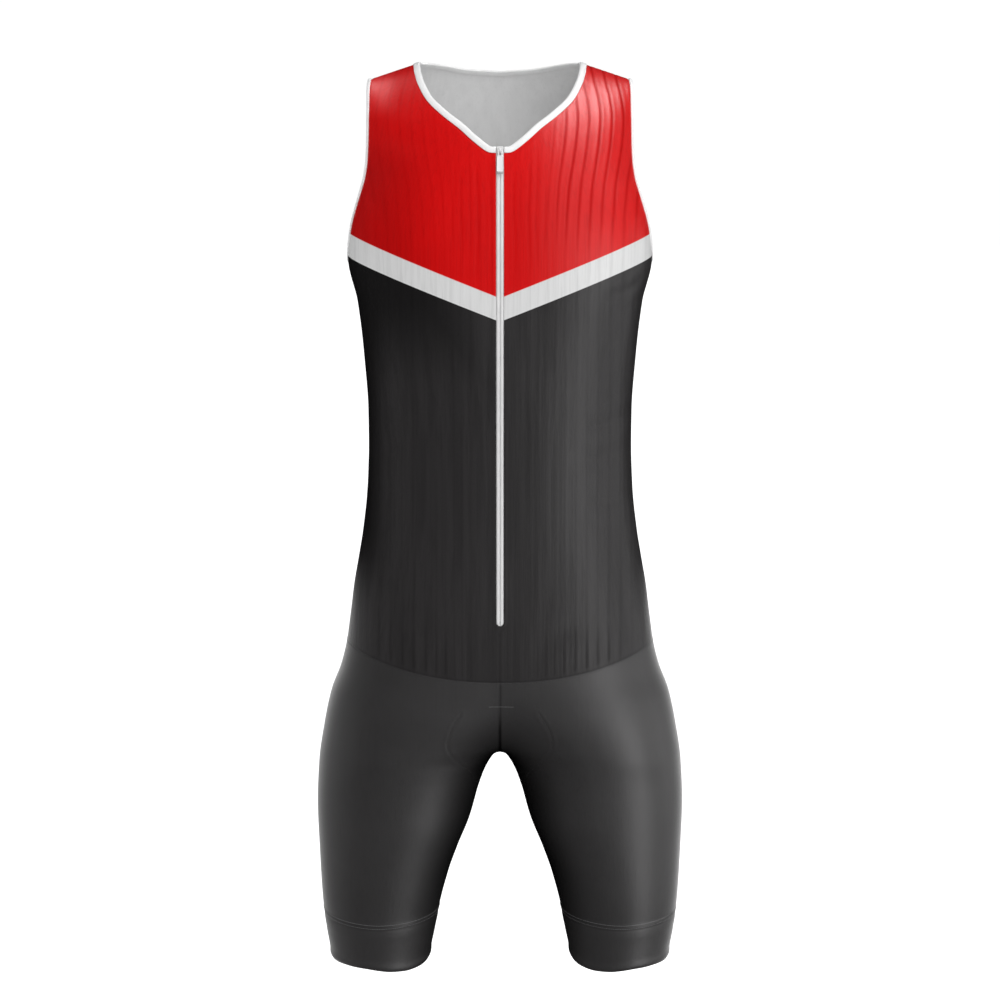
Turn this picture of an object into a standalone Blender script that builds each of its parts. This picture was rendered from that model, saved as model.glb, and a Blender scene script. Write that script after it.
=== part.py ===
"""Sleeveless one-piece skinsuit with short legs and a long front zip, filled out as when worn.

Metres, +Z up, front towards -Y. The origin lies midway between the two neck-side points of the
shoulders, so nearly all heights are negative. Every panel is cut from one body form: horizontal
sections down to the hems, and a rounded vault from the underarms up to the shoulder line.
"""

import math

import bmesh
import bpy
import numpy as np
from mathutils import Matrix, Vector

# ------------------------------------------------------------------ sizes (metres)
CLOTH = 0.0015  # wall of every knitted panel
BINDING = 0.0022  # wall of the folded bindings
BINDING_SINK = 0.0004  # how far a binding reaches inside the panel's inner face
TAPE = 0.0014  # wall of the zip tapes
SEAM_GAP = 0.0003  # between the edges of two neighbouring pieces
STRIP = 0.003  # narrow strip along every cut edge

UNDERARM_Z = -0.197  # level of the underarm, where the vault begins
VAULT_STEP = 0.34  # height below the underarm for one unit of the length coordinate
RIDGE_TOP = 0.0219  # height of the shoulder ridge carried on to the middle
RIDGE_SLOPE = 0.345  # fall of the shoulder ridge
RIDGE_ROUND = 0.030  # rounding of the ridge over the middle
FOLD = 0.020  # rounding of the form across its middle plane

NECK_SIDE_X = 0.0885  # neck-side end of the shoulder seam, outer edge of the binding
NECK_BINDING_WIDE = 0.0063
ARM_BINDING_WIDE = 0.0038
ARMHOLE_REACH = 0.45  # depth of the armhole edge as a share of the section's depth
ARMHOLE_FULL_Z = -0.105  # above this level the armhole keeps that share

ZIP_HALF = 0.0040  # half width of the closed zip where it shows
ZIP_END_Z = -0.567  # lower end of the zip
CROTCH_Z = -0.7166
WAIST_FRONT_Z = -0.625  # waist seam at the front middle
WAIST_CURVE = 1.18  # rise of the front waist seam, per square metre of half width
WAIST_BACK_RISE = 0.008  # further rise from the side to the back middle
CUFF_Z = -0.8915  # seam between leg and cuff
HEM_Z = -0.9405

# Outline seen from the front, to the outer face of the cloth.
OUTLINE = [  # z, half_width
    (0.060, 0.1385),
    (-0.015, 0.1381),
    (-0.040, 0.1370),
    (-0.074, 0.1367),
    (-0.095, 0.1373),
    (-0.112, 0.1395),
    (-0.129, 0.1442),
    (-0.142, 0.1481),
    (-0.157, 0.1522),
    (-0.171, 0.1547),
    (-0.197, 0.1573),
    (-0.241, 0.1477),
    (-0.298, 0.1413),
    (-0.354, 0.1374),
    (-0.389, 0.1371),
    (-0.434, 0.1386),
    (-0.481, 0.1436),
    (-0.515, 0.1492),
    (-0.538, 0.1532),
    (-0.572, 0.1575),
    (-0.600, 0.1615),
    (-0.626, 0.1680),
    (-0.653, 0.1782),
    (-0.688, 0.1857),
    (-0.727, 0.1914),
    (-0.772, 0.1934),
    (-0.819, 0.1918),
    (-0.874, 0.1889),
    (-0.908, 0.1850),
    (-0.942, 0.1803),
]
# Half of the gap between the legs, to the outer face of the cloth.
LEG_GAP = [  # z, half_gap
    (-0.7230, 0.0085),
    (-0.7534, 0.0223),
    (-0.7914, 0.0333),
    (-0.8197, 0.0449),
    (-0.8492, 0.0552),
    (-0.8864, 0.0647),
    (-0.9420, 0.0745),
]
# Where each half of the hips is centred above the crotch.
HIP = [  # z, centre
    (-0.4600, 0.0000),
    (-0.5400, 0.0080),
    (-0.5800, 0.0200),
    (-0.6200, 0.0370),
    (-0.6550, 0.0625),
    (-0.6800, 0.0820),
    (-0.7000, 0.0960),
]
# Side profile of the general figure.
PROFILE = [  # z, front, back, squareness
    (-0.197, 0.112, 0.104, 2.75),
    (-0.260, 0.111, 0.101, 2.60),
    (-0.330, 0.106, 0.094, 2.45),
    (-0.390, 0.101, 0.088, 2.35),
    (-0.450, 0.100, 0.088, 2.30),
    (-0.510, 0.102, 0.096, 2.30),
    (-0.570, 0.105, 0.110, 2.30),
    (-0.620, 0.107, 0.121, 2.35),
    (-0.660, 0.106, 0.124, 2.35),
    (-0.700, 0.101, 0.117, 2.30),
    (-0.740, 0.094, 0.104, 2.20),
    (-0.790, 0.088, 0.093, 2.15),
    (-0.850, 0.080, 0.082, 2.10),
    (-0.900, 0.072, 0.073, 2.10),
    (-0.942, 0.067, 0.067, 2.10),
]
# Seam line between the front panel and the neck binding.
FRONT_NECK = [  # x, z
    (0.0040, -0.0864),
    (0.0130, -0.0849),
    (0.0271, -0.0745),
    (0.0411, -0.0621),
    (0.0562, -0.0507),
    (0.0725, -0.0359),
    (0.0821, -0.0201),
    (0.0868, -0.0070),
]
# Seam line between the back panel and the neck binding.
BACK_NECK = [  # x, z
    (0.0850, -0.0008),
    (0.0770, -0.0012),
    (0.0600, -0.0040),
    (0.0350, -0.0085),
    (0.0000, -0.0108),
]


# ------------------------------------------------------------------ curves through the tables
def curve(rows, column):
    """A smooth curve through one column of a table, with no overshoot, as a function of z."""
    pts = sorted((row[0], row[column]) for row in rows)
    z = np.array([p[0] for p in pts])
    v = np.array([p[1] for p in pts])
    h = np.diff(z)
    d = np.diff(v) / h
    m = np.zeros(len(z))
    for i in range(1, len(z) - 1):
        if d[i - 1] * d[i] > 0:
            w1, w2 = 2 * h[i] + h[i - 1], h[i] + 2 * h[i - 1]
            m[i] = (w1 + w2) / (w1 / d[i - 1] + w2 / d[i])
    m[0], m[-1] = 0.0, 0.0

    def f(x):
        x = np.clip(np.asarray(x, float), z[0], z[-1])
        k = np.clip(np.searchsorted(z, x) - 1, 0, len(h) - 1)
        t = (x - z[k]) / h[k]
        a, b = 2 * t**3 - 3 * t**2 + 1, t**3 - 2 * t**2 + t
        return a * v[k] + b * h[k] * m[k] + (1 - a) * v[k + 1] + (t**3 - t**2) * h[k] * m[k + 1]

    return f


outline = curve(OUTLINE, 1)
front_depth = curve(PROFILE, 1)
back_depth = curve(PROFILE, 2)
squareness = curve(PROFILE, 3)


def folded(x):
    """Distance from the middle plane, rounded at the middle."""
    return np.sqrt(x * x + FOLD * FOLD)


def _hip_rows():
    rows = list(HIP)
    rows.append((CROTCH_Z, (folded(float(outline(CROTCH_Z)) - CLOTH) + FOLD) / 2))
    for z, gap in LEG_GAP:
        outer = folded(float(outline(z)) - CLOTH)
        rows.append((z, (outer + folded(gap + CLOTH)) / 2))
    return rows


centre = curve(_hip_rows(), 1)


def armhole_share(z):
    """Depth of the armhole edge at height z, as a share of the section's depth."""
    t = np.clip((ARMHOLE_FULL_Z - z) / (ARMHOLE_FULL_Z - UNDERARM_Z), 0, 1)
    return ARMHOLE_REACH * np.sqrt(np.clip(1 - t * t, 0, 1))


def half_section(z):
    """Half width of one section about its centre."""
    n = squareness(z)
    edge = (1 - armhole_share(z) ** n) ** (1 / n)
    return folded(outline(z) - CLOTH) / edge - centre(z)


def ridge(x):
    """Height of the shoulder ridge above the underarm level."""
    return RIDGE_TOP - RIDGE_SLOPE * (np.sqrt(x * x + RIDGE_ROUND**2) - RIDGE_ROUND) - UNDERARM_Z


def section(turn, z):
    """Point of the section at height z: turn 0 is the front, pi/2 the outer side, pi the back."""
    n = squareness(z)
    s, c = np.sin(turn), np.cos(turn)
    reach = (np.abs(s) ** n + np.abs(c) ** n) ** (-1 / n)
    x = centre(z) + half_section(z) * reach * s
    x = np.sqrt(np.clip(x * x - FOLD * FOLD, 0, None))
    depth = np.where(c >= 0, -front_depth(z), back_depth(z))
    return x, depth * reach * np.abs(c)


def form(turn, length):
    """Point of the body form. length is 1 on the shoulder ridge, 0 at the front underarm level and
    2 at the back one, and goes on below them; turn runs from the middle to the side."""
    turn, length = np.broadcast_arrays(np.asarray(turn, float), np.asarray(length, float))
    front = length <= 1
    q = np.where(front, length, 2 - length)
    lift = np.sin(np.clip(q, 0, 1) * math.pi / 2)
    z = np.where(q >= 0, UNDERARM_Z + 0.2 * lift, UNDERARM_Z + VAULT_STEP * q)
    for _ in range(8):
        x, y = section(turn, z)
        z = np.where(q >= 0, UNDERARM_Z + ridge(x) * lift, UNDERARM_Z + VAULT_STEP * q)
    shrink = np.cos(np.clip(q, 0, 1) * math.pi / 2)
    low = np.minimum(z, UNDERARM_Z)
    depth = np.where(front, front_depth(low), back_depth(low))
    share = -y / np.where(np.cos(turn) >= 0, front_depth(z), back_depth(z))
    y = np.where(front, -1.0, 1.0) * depth * share * shrink
    return np.stack([x, y, z], -1)


def place(x, z, back=False):
    """The (turn, length) of the form at a given x and z, on the front or the back."""
    q = (z - UNDERARM_Z) / VAULT_STEP
    if z > UNDERARM_Z:
        q = math.asin(min(1.0, (z - UNDERARM_Z) / float(ridge(np.float64(x))))) / (math.pi / 2)
    n = float(squareness(z))
    s = (float(folded(np.float64(x))) - float(centre(z))) / float(half_section(z))
    s = max(-1.0, min(1.0, s))
    turn = math.atan2(s, (1 - abs(s) ** n) ** (1 / n))
    return turn, (2 - q if back else q)


def slopes(turn, length):
    h = 1e-4
    a = (form(turn + h, length) - form(turn - h, length)) / (2 * h)
    b = (form(turn, length + h) - form(turn, length - h)) / (2 * h)
    return a, b


def shifted(path, distance):
    """A curve on the form moved sideways over the surface, to its left as seen from outside."""
    path = np.asarray(path, float)
    a, b = slopes(path[:, 0], path[:, 1])
    la, lb = np.linalg.norm(a, axis=1), np.linalg.norm(b, axis=1)
    step = np.gradient(path, axis=0)
    along = np.stack([step[:, 0] * la, step[:, 1] * lb], 1)
    along /= np.linalg.norm(along, axis=1)[:, None]
    return path + distance * np.stack([-along[:, 1] / la, along[:, 0] / lb], 1)


def rounded(points, per=6):
    """A smooth curve through a few points of a plane."""
    p = [np.array(q, float) for q in points]
    p = [2 * p[0] - p[1]] + p + [2 * p[-1] - p[-2]]
    out = []
    for i in range(1, len(p) - 2):
        for k in range(per):
            t = k / per
            a, b, c, d = p[i - 1], p[i], p[i + 1], p[i + 2]
            out.append(
                0.5 * (2 * b + (c - a) * t + (2 * a - 5 * b + 4 * c - d) * t * t + (3 * b - a - 3 * c + d) * t**3)
            )
    out.append(p[-2])
    return np.array(out)


# ------------------------------------------------------------------ the cut edges
def neck_line(rows, back):
    path = [place(x, z, back) for x, z in rounded(rows)]
    n = float(squareness(0.0))
    s = float(folded(np.float64(NECK_SIDE_X))) / float(half_section(0.0))
    side = (math.atan2(s, (1 - s**n) ** (1 / n)), 1.0)
    return np.array(path + [side] if not back else [side] + path)


FRONT_NECK_SEAM = neck_line(FRONT_NECK, False)
BACK_NECK_SEAM = neck_line(BACK_NECK, True)


def armhole_edge(count=10):
    """Free edge of the front half of an armhole, from the underarm up to the shoulder ridge."""
    path = []
    for k in range(count + 1):
        a = math.pi / 2 * k / count
        z = ARMHOLE_FULL_Z - (ARMHOLE_FULL_Z - UNDERARM_Z) * math.cos(a)
        share = ARMHOLE_REACH * math.sin(a)
        n = float(squareness(z))
        turn = math.atan2((1 - share**n) ** (1 / n), share)
        x = float(section(turn, z)[0])
        q = math.asin(min(1.0, max(0.0, (z - UNDERARM_Z) / float(ridge(np.float64(x)))))) / (math.pi / 2)
        path.append((turn, q))
    turn, q = path[-1]
    for k in range(1, count + 1):
        path.append((turn, q + (1 - q) * k / count))
    return np.array(path)


ARM_EDGE = armhole_edge()
_loop = np.concatenate([[(math.pi - ARM_EDGE[1, 0], ARM_EDGE[1, 1])], ARM_EDGE, [(ARM_EDGE[-1, 0], 1.04)]])
ARM_SEAM = shifted(_loop, ARM_BINDING_WIDE)[1:-1]
ARM_SEAM[0] = (math.pi / 2, ARM_SEAM[0, 1])
ARM_SEAM[-1, 1] = 1.0


def waist_z(turn, back):
    """Height of the waist seam at one turn."""
    side_x = float(outline(-0.59)) - CLOTH
    z = WAIST_FRONT_Z
    for _ in range(12):
        x = float(section(turn, z)[0])
        z = WAIST_FRONT_Z + WAIST_CURVE * x * x
        if back:
            z = WAIST_FRONT_Z + WAIST_CURVE * side_x**2 + WAIST_BACK_RISE * (1 - min(1.0, x / side_x) ** 2)
    return z


def zip_edge_x(z):
    """Half width of the cut for the zip, which ends in a half round."""
    d = z - ZIP_END_Z
    if d <= 0:
        return 0.0
    h = ZIP_HALF
    return h if d >= h else math.sqrt(h * h - (h - d) ** 2)


# ------------------------------------------------------------------ meshes
COLLECTION = bpy.data.collections.new("skinsuit")
CUTTERS = bpy.data.collections.new("cutters")


def material(name, colour, rough=0.6, metal=0.0):
    mat = bpy.data.materials.new(name)
    mat.use_nodes = True
    shader = mat.node_tree.nodes["Principled BSDF"]
    shader.inputs["Base Color"].default_value = (*colour, 1)
    shader.inputs["Roughness"].default_value = rough
    shader.inputs["Metallic"].default_value = metal
    mat.diffuse_color = (*colour, 1)
    return mat


def eased(grid):
    """Pulls the two rims of a tube back by half of the seam gap, over the surface."""
    out = grid.copy()
    for edge, inner in ((0, 1), (-1, -2)):
        d = grid[inner] - grid[edge]
        out[edge] = grid[edge] + d / np.linalg.norm(d, axis=-1, keepdims=True) * SEAM_GAP / 2
    return out


def trimmed(grid, back, free_left):
    """Pulls the cut edges of a panel back by half of the seam gap, and lays a narrow strip of even
    width along them. free_left leaves the strip out along the middle."""
    g = grid.copy()
    if back:
        g[..., 1] = 2 - g[..., 1]
    rows, cols = g.shape[:2]
    loop = [(0, j) for j in range(cols)] + [(i, cols - 1) for i in range(1, rows)]
    loop += [(rows - 1, j) for j in range(cols - 2, -1, -1)] + [(i, 0) for i in range(rows - 2, 0, -1)]
    pts = np.array([g[k] for k in loop])
    a, b = slopes(pts[:, 0], 2 - pts[:, 1] if back else pts[:, 1])
    size = np.stack([np.linalg.norm(a, axis=1), np.linalg.norm(b, axis=1)], 1)
    before = (pts - np.roll(pts, 1, 0)) * size
    after = (np.roll(pts, -1, 0) - pts) * size
    n1 = np.stack([before[:, 1], -before[:, 0]], 1) / np.linalg.norm(before, axis=1)[:, None]
    n2 = np.stack([after[:, 1], -after[:, 0]], 1) / np.linalg.norm(after, axis=1)[:, None]
    mitre = (n1 + n2) / np.maximum(0.4, 1 + np.sum(n1 * n2, 1))[:, None] / size
    out = g.copy()
    for k, (i, j) in enumerate(loop):
        out[i, j] = pts[k] + mitre[k] * SEAM_GAP / 2
        corner = i in (0, rows - 1) and j in (0, cols - 1)
        near_corner = not corner and (
            (j in (0, cols - 1) and i in (1, rows - 2)) or (i in (0, rows - 1) and j in (1, cols - 2))
        )
        if near_corner or (free_left and j == 0):
            continue
        inner = (min(max(i, 1), rows - 2), min(max(j, 1), cols - 2))
        out[inner] = pts[k] + mitre[k] * STRIP
    if free_left:
        for i in (1, rows - 2):
            out[i, 1, 0] = g[i, 1, 0]
    if back:
        out[..., 1] = 2 - out[..., 1]
    return out


def cloth_wall(name, grid, thick, mat, closed=False, mirror=False, flat=False):
    """An open sheet through a grid of points, thickened outwards into a wall."""
    grid = np.array(grid)
    rows, cols = grid.shape[:2]
    verts = grid.reshape(-1, 3).copy()
    if mirror:
        verts[:, 0] *= -1
    span = cols if closed else cols - 1
    faces = []
    for i in range(rows - 1):
        for j in range(span):
            k = (j + 1) % cols
            faces.append((i * cols + j, i * cols + k, (i + 1) * cols + k, (i + 1) * cols + j))
    bm = bmesh.new()
    made = [bm.verts.new(v) for v in verts]
    for f in faces:
        bm.faces.new([made[v] for v in f])
    bm.normal_update()
    outward = 0.0
    for f in bm.faces:
        mid = f.calc_center_median()
        hub_x = float(centre(mid.z)) * (1 if mid.x >= 0 else -1) if mid.z < CROTCH_Z else 0.0
        outward += f.normal.dot(Vector((mid.x - hub_x, mid.y, mid.z - min(mid.z, UNDERARM_Z)))) * f.calc_area()
    if outward < 0:
        bmesh.ops.reverse_faces(bm, faces=list(bm.faces))
    mesh = bpy.data.meshes.new(name)
    bm.to_mesh(mesh)
    bm.free()
    if not flat:
        mesh.shade_smooth()
    obj = bpy.data.objects.new(name, mesh)
    COLLECTION.objects.link(obj)
    mesh.materials.append(mat)
    mod = obj.modifiers.new("wall", "SOLIDIFY")
    mod.thickness = thick
    mod.offset = 1.0
    mod.use_even_offset = False
    return obj


def sunk(path, depth):
    """Points of the form moved inwards by depth."""
    a, b = slopes(path[:, 0], path[:, 1])
    n = np.cross(a, b)
    n /= np.linalg.norm(n, axis=1)[:, None]
    p = form(path[:, 0], path[:, 1])
    sign = np.sign(np.sum(n * (p - np.stack([0 * p[:, 0], 0 * p[:, 0], np.minimum(p[:, 2], UNDERARM_Z)], 1)), 1))
    return p - n * sign[:, None] * depth


def across(path, shares):
    pts = form(path[:, 0], path[:, 1])
    s = np.concatenate([[0], np.cumsum(np.linalg.norm(np.diff(pts, axis=0), axis=1))])
    t = np.asarray(shares) * s[-1]
    return np.stack([np.interp(t, s, path[:, k]) for k in (0, 1)], 1)


def patch(top, bottom, left, right, u, v):
    """Fills four edges with a grid of (turn, length) rows. Each edge is already sampled."""
    grid = np.zeros((len(v), len(u), 2))
    for i, b in enumerate(v):
        for j, a in enumerate(u):
            grid[i, j] = (
                (1 - b) * top[j]
                + b * bottom[j]
                + (1 - a) * left[i]
                + a * right[i]
                - (1 - a) * (1 - b) * top[0]
                - a * (1 - b) * top[-1]
                - (1 - a) * b * bottom[0]
                - a * b * bottom[-1]
            )
    return grid


# Shares along each seam at which the pieces on both sides have a point.
NECK_SHARES = [0.0, 0.022, 0.17, 0.34, 0.51, 0.68, 0.84, 1.0]  # middle to shoulder
SHOULDER_SHARES = [0.0, 0.33, 0.66, 0.94, 1.0]  # neck to armhole
ARM_SHARES = [0.0, 0.06, 0.13, 0.21, 0.31, 0.43, 0.56, 0.70, 0.83, 0.92, 0.965, 0.988, 1.0]  # underarm to ridge
SIDE_SHARES = [0.0, 0.016, 0.09, 0.18, 0.28, 0.38, 0.48, 0.58, 0.68, 0.78, 0.89, 0.992, 1.0]
WAIST_SHARES = [0.0, 0.018, 0.10, 0.20, 0.30, 0.41, 0.52, 0.63, 0.74, 0.86, 0.983, 1.0]  # middle to side


def on_back(path):
    return np.stack([path[:, 0], 2 - path[:, 1]], 1)


def arm_points():
    pts = across(ARM_SEAM, ARM_SHARES)
    pts[0, 0] = math.pi / 2
    return pts


def side_points(back):
    """Armhole seam from the shoulder ridge down, then the side seam to the waist."""
    arm = arm_points()[::-1]
    start = arm[-1, 1]
    end = (waist_z(math.pi / 2, False) - UNDERARM_Z) / VAULT_STEP
    side = np.array([(math.pi / 2, start + (end - start) * k / 60) for k in range(61)])
    path = np.concatenate([arm, across(side, SIDE_SHARES)[1:]])
    return on_back(path) if back else path


def waist_points(back):
    """Waist seam from the middle to the side."""
    z = waist_z(0.3, back)
    for _ in range(20):
        mid_turn = place(0.0, z)[0]
        z = waist_z(mid_turn, back)
    path = []
    for k in range(61):
        turn = mid_turn + (math.pi / 2 - mid_turn) * k / 60
        path.append((turn, (waist_z(turn, back) - UNDERARM_Z) / VAULT_STEP))
    path = np.array(path)
    return across(on_back(path) if back else path, WAIST_SHARES)


def neck_points(back):
    """Neck seam from the middle to the shoulder."""
    return across(BACK_NECK_SEAM[::-1] if back else FRONT_NECK_SEAM, NECK_SHARES)


def panel_grid(back):
    neck = neck_points(back)
    end_turn = ARM_SEAM[-1, 0]
    shoulder = np.array([(neck[-1, 0] + (end_turn - neck[-1, 0]) * k / 12, 1.0) for k in range(13)])
    top = np.concatenate([neck, across(shoulder, SHOULDER_SHARES)[1:]])
    bottom = waist_points(back)
    right = side_points(back)
    pts = form(right[:, 0], right[:, 1])
    v = np.concatenate([[0], np.cumsum(np.linalg.norm(np.diff(pts, axis=0), axis=1))])
    v /= v[-1]
    z_top = BACK_NECK[-1][1] if back else FRONT_NECK[0][1]
    z_low = waist_z(bottom[0, 0], back)
    heights = z_top + (z_low - z_top) * v
    if not back:
        k = int(np.argmin(np.abs(heights - ZIP_END_Z)))
        heights[k - 1 : k + 2] = [ZIP_END_Z + ZIP_HALF, ZIP_END_Z + 0.3 * ZIP_HALF, ZIP_END_Z]
    left = np.array([place(0.0 if back else zip_edge_x(z), z, back) for z in heights])
    top[0], bottom[0] = left[0], left[-1]
    return patch(top, bottom, left, right, np.array(WAIST_SHARES), v)


def build_torso(mats):
    grid = trimmed(panel_grid(False), False, True)
    pts = form(grid[..., 0], grid[..., 1])
    cloth_wall("front_right", pts, CLOTH, mats["front"])
    cloth_wall("front_left", pts, CLOTH, mats["front"], mirror=True)
    grid = panel_grid(True)
    middle = grid[:, 0].copy()
    grid = trimmed(grid, True, True)
    middle[[0, -1], 1] = grid[[0, -1], 0, 1]
    middle[1, 1] = place(0.0, BACK_NECK[-1][1] - 0.8 * STRIP, True)[1]
    middle[-2, 1] = middle[-1, 1] - STRIP / VAULT_STEP
    grid[:, 0] = middle
    right = form(grid[..., 0], grid[..., 1])
    right[:, 0, 0] = 0.0
    right = np.delete(right, 1, axis=1)
    left = right[:, :0:-1].copy()
    left[..., 0] *= -1
    cloth_wall("back", np.concatenate([left, right], 1), CLOTH, mats["back"])


def leg_columns():
    """Turns of the leg's columns, and where the waist seam starts and ends among them."""
    front = waist_points(False)[:, 0]
    back = math.pi - np.delete(waist_points(True)[::-1, 0], -2)
    columns = list(np.linspace(-math.pi / 2, front[0], 5)[:-1]) + list(front) + list(back[1:])
    columns += list(np.linspace(back[-1], 1.5 * math.pi, 6)[1:-1])
    return columns, front[0], back[-1]


def build_legs(mats):
    """Each leg is one piece: half of the waist seam, the seam through the crotch, then a tube."""
    heights = np.linspace(CROTCH_Z, -0.56, 160)
    n = squareness(heights)
    s = np.clip((FOLD - centre(heights)) / half_section(heights), -1, 1)
    mid_turn = np.arctan2(s, (1 - np.abs(s) ** n) ** (1 / n))
    mid_turn[0] = -math.pi / 2
    columns, front_mid, back_mid = leg_columns()
    v = np.array([0, 0.012, 0.09, 0.18, 0.28, 0.38, 0.49, 0.60, 0.71, 0.84, 0.985, 1.0])
    grid = []
    for t in columns:
        on_waist = front_mid - 1e-9 <= t <= back_mid + 1e-9
        if on_waist:
            z0 = waist_z(t if t <= math.pi / 2 else math.pi - t, t > math.pi / 2 + 1e-9)
        else:
            z0 = float(np.interp(t if t < front_mid else math.pi - t, mid_turn, heights))
        on_middle = not front_mid + 1e-6 < t < back_mid - 1e-6
        power = 2.0 if on_middle else 1 + 0.35 * np.clip(max(front_mid + 0.8 - t, t - back_mid + 0.8) / 0.8, 0, 1)
        line = []
        for k, b in enumerate(v):
            z = z0 + (CUFF_Z - z0) * b**power
            if k == 1 and not on_middle:
                z = z0 - STRIP
            x, y = section(t, z)
            if k == 0 and on_middle:
                x = 0.0
            line.append((float(x), float(y), z))
        grid.append(line)
    grid = eased(np.array(grid).transpose(1, 0, 2))
    cloth_wall("leg_right", grid, CLOTH, mats["leg"], closed=True)
    cloth_wall("leg_left", grid, CLOTH, mats["leg"], closed=True, mirror=True)

    turns = np.array(columns)
    cuff = []
    for z in (CUFF_Z, CUFF_Z - STRIP, (CUFF_Z + HEM_Z) / 2, HEM_Z):
        x, y = section(turns, np.full(len(turns), z))
        cuff.append(np.stack([x, y, 0 * x + z], 1))
    cuff = eased(np.array(cuff))
    cuff[-1, :, 2] = HEM_Z
    cloth_wall("cuff_right", cuff, CLOTH, mats["cuff"], closed=True)
    cloth_wall("cuff_left", cuff, CLOTH, mats["cuff"], closed=True, mirror=True)


def build_bindings(mats):
    back_half = np.delete(neck_points(True)[::-1], -2, axis=0)
    half = np.concatenate([neck_points(False), back_half[1:]])
    rows = []
    for share in (0.0, 0.14, 0.5, 1.0):
        path = shifted(half, NECK_BINDING_WIDE * share)
        pts = sunk(path, BINDING_SINK)
        pts[0, 0] = ZIP_HALF + SEAM_GAP / 2
        pts[-1, 0] = 0.0
        other = pts[-2::-1].copy()
        other[:, 0] *= -1
        rows.append(np.concatenate([pts, other]))
    grid = np.array(rows)
    grid[0] += (grid[1] - grid[0]) / np.linalg.norm(grid[1] - grid[0], axis=1)[:, None] * SEAM_GAP
    cloth_wall("neck_binding", grid, BINDING, mats["binding"])

    seam = arm_points()
    free = across(ARM_EDGE, ARM_SHARES)
    free[0, 0] = math.pi / 2
    rows = []
    for share in (0.0, 0.14, 0.5, 1.0):
        path = seam + (free - seam) * share
        a = sunk(path, BINDING_SINK)
        b = sunk(on_back(path)[1:-1][::-1], BINDING_SINK)
        a[0, 1] = 0.0
        a[-1, 1] = 0.0
        rows.append(np.concatenate([a, b]))
    grid = np.array(rows)
    grid[0] += (grid[1] - grid[0]) / np.linalg.norm(grid[1] - grid[0], axis=1)[:, None] * SEAM_GAP
    cloth_wall("armhole_binding_right", grid, BINDING, mats["binding"], closed=True)
    cloth_wall("armhole_binding_left", grid, BINDING, mats["binding"], closed=True, mirror=True)


def front_point(x, z):
    turn, q = place(x, z)
    return form(turn, q)


# ------------------------------------------------------------------ zip
SLIDER_LOW_Z = -0.0880  # lower edge of the slider
SLIDER_LONG = 0.0080
SLIDER_HALF = 0.0037
PLATE = 0.0012
PLATE_LIFT = 0.0017  # inner face of the slider's front plate above the form
BAIL_HALF = 0.0007
PIVOT_UP = 0.00265  # the pull's cross bar, up from the slider's lower edge
PIVOT_OUT = 0.00375  # and out from the form
BAR_RADIUS = 0.00055
PULL_HALF = 0.0036
PULL_TOP = -0.0010  # upper edge of the grip, from the slider's lower edge
PULL_LOW = -0.0212
PULL_THICK = 0.0013
ARM_IN, ARM_OUT = 0.0011, 0.0023


def zip_frame():
    """Axes at the slider's lower edge: across, up along the zip, and outwards."""
    low = Vector(front_point(0.0, SLIDER_LOW_Z))
    high = Vector(front_point(0.0, SLIDER_LOW_Z + 0.006))
    up = (high - low).normalized()
    across_ = Vector((1, 0, 0))
    out = up.cross(across_).normalized()
    if out.y > 0:
        out = -out
    return low, across_, up, out


def build_tapes(mats):
    top = SLIDER_LOW_Z + 0.0053
    for name, sign in (("zip_tape_right", 1), ("zip_tape_left", -1)):
        inner, outer = SEAM_GAP / 2, ZIP_HALF - SEAM_GAP / 2
        heights = np.linspace(top, ZIP_END_Z + ZIP_HALF, 24)
        cut = [ZIP_END_Z + ZIP_HALF * (1 - math.sin(a)) + SEAM_GAP / 2 for a in (0.5, 1.0, 1.32)]
        rows = []
        for z in list(heights) + cut:
            wide = max(zip_edge_x(z - SEAM_GAP) - SEAM_GAP, inner + 0.0004)
            rows.append([front_point(x, z) for x in (inner, (inner + min(wide, outer)) / 2, min(wide, outer))])
        cloth_wall(name, np.array(rows), TAPE, mats["tape"], mirror=sign < 0)


def box(name, size, at, frame, collection, bevel=0.0):
    """A cuboid given by its size and middle in the zip's own axes."""
    low, right, up, out = frame
    bpy.ops.mesh.primitive_cube_add(size=1)
    obj = bpy.context.object
    obj.name = name
    obj.data.transform(Matrix.Diagonal((*size, 1)))
    turn = Matrix((right, up, out)).transposed().to_4x4()
    obj.data.transform(Matrix.Translation(low + right * at[0] + up * at[1] + out * at[2]) @ turn)
    if obj.data.polygons and sum(
        p.normal.dot(p.center - (low + right * at[0] + up * at[1] + out * at[2])) for p in obj.data.polygons
    ) < 0:
        obj.data.flip_normals()
    for c in list(obj.users_collection):
        c.objects.unlink(obj)
    collection.objects.link(obj)
    if bevel:
        mod = obj.modifiers.new("edges", "BEVEL")
        mod.width = bevel
        mod.segments = 2
    return obj


def hidden(obj):
    obj.hide_render = True
    obj.display_type = "WIRE"
    return obj


def union(obj, others):
    for k, other in enumerate(others):
        mod = obj.modifiers.new(f"join{k}", "BOOLEAN")
        mod.operation = "UNION"
        mod.solver = "EXACT"
        mod.object = other


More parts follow.
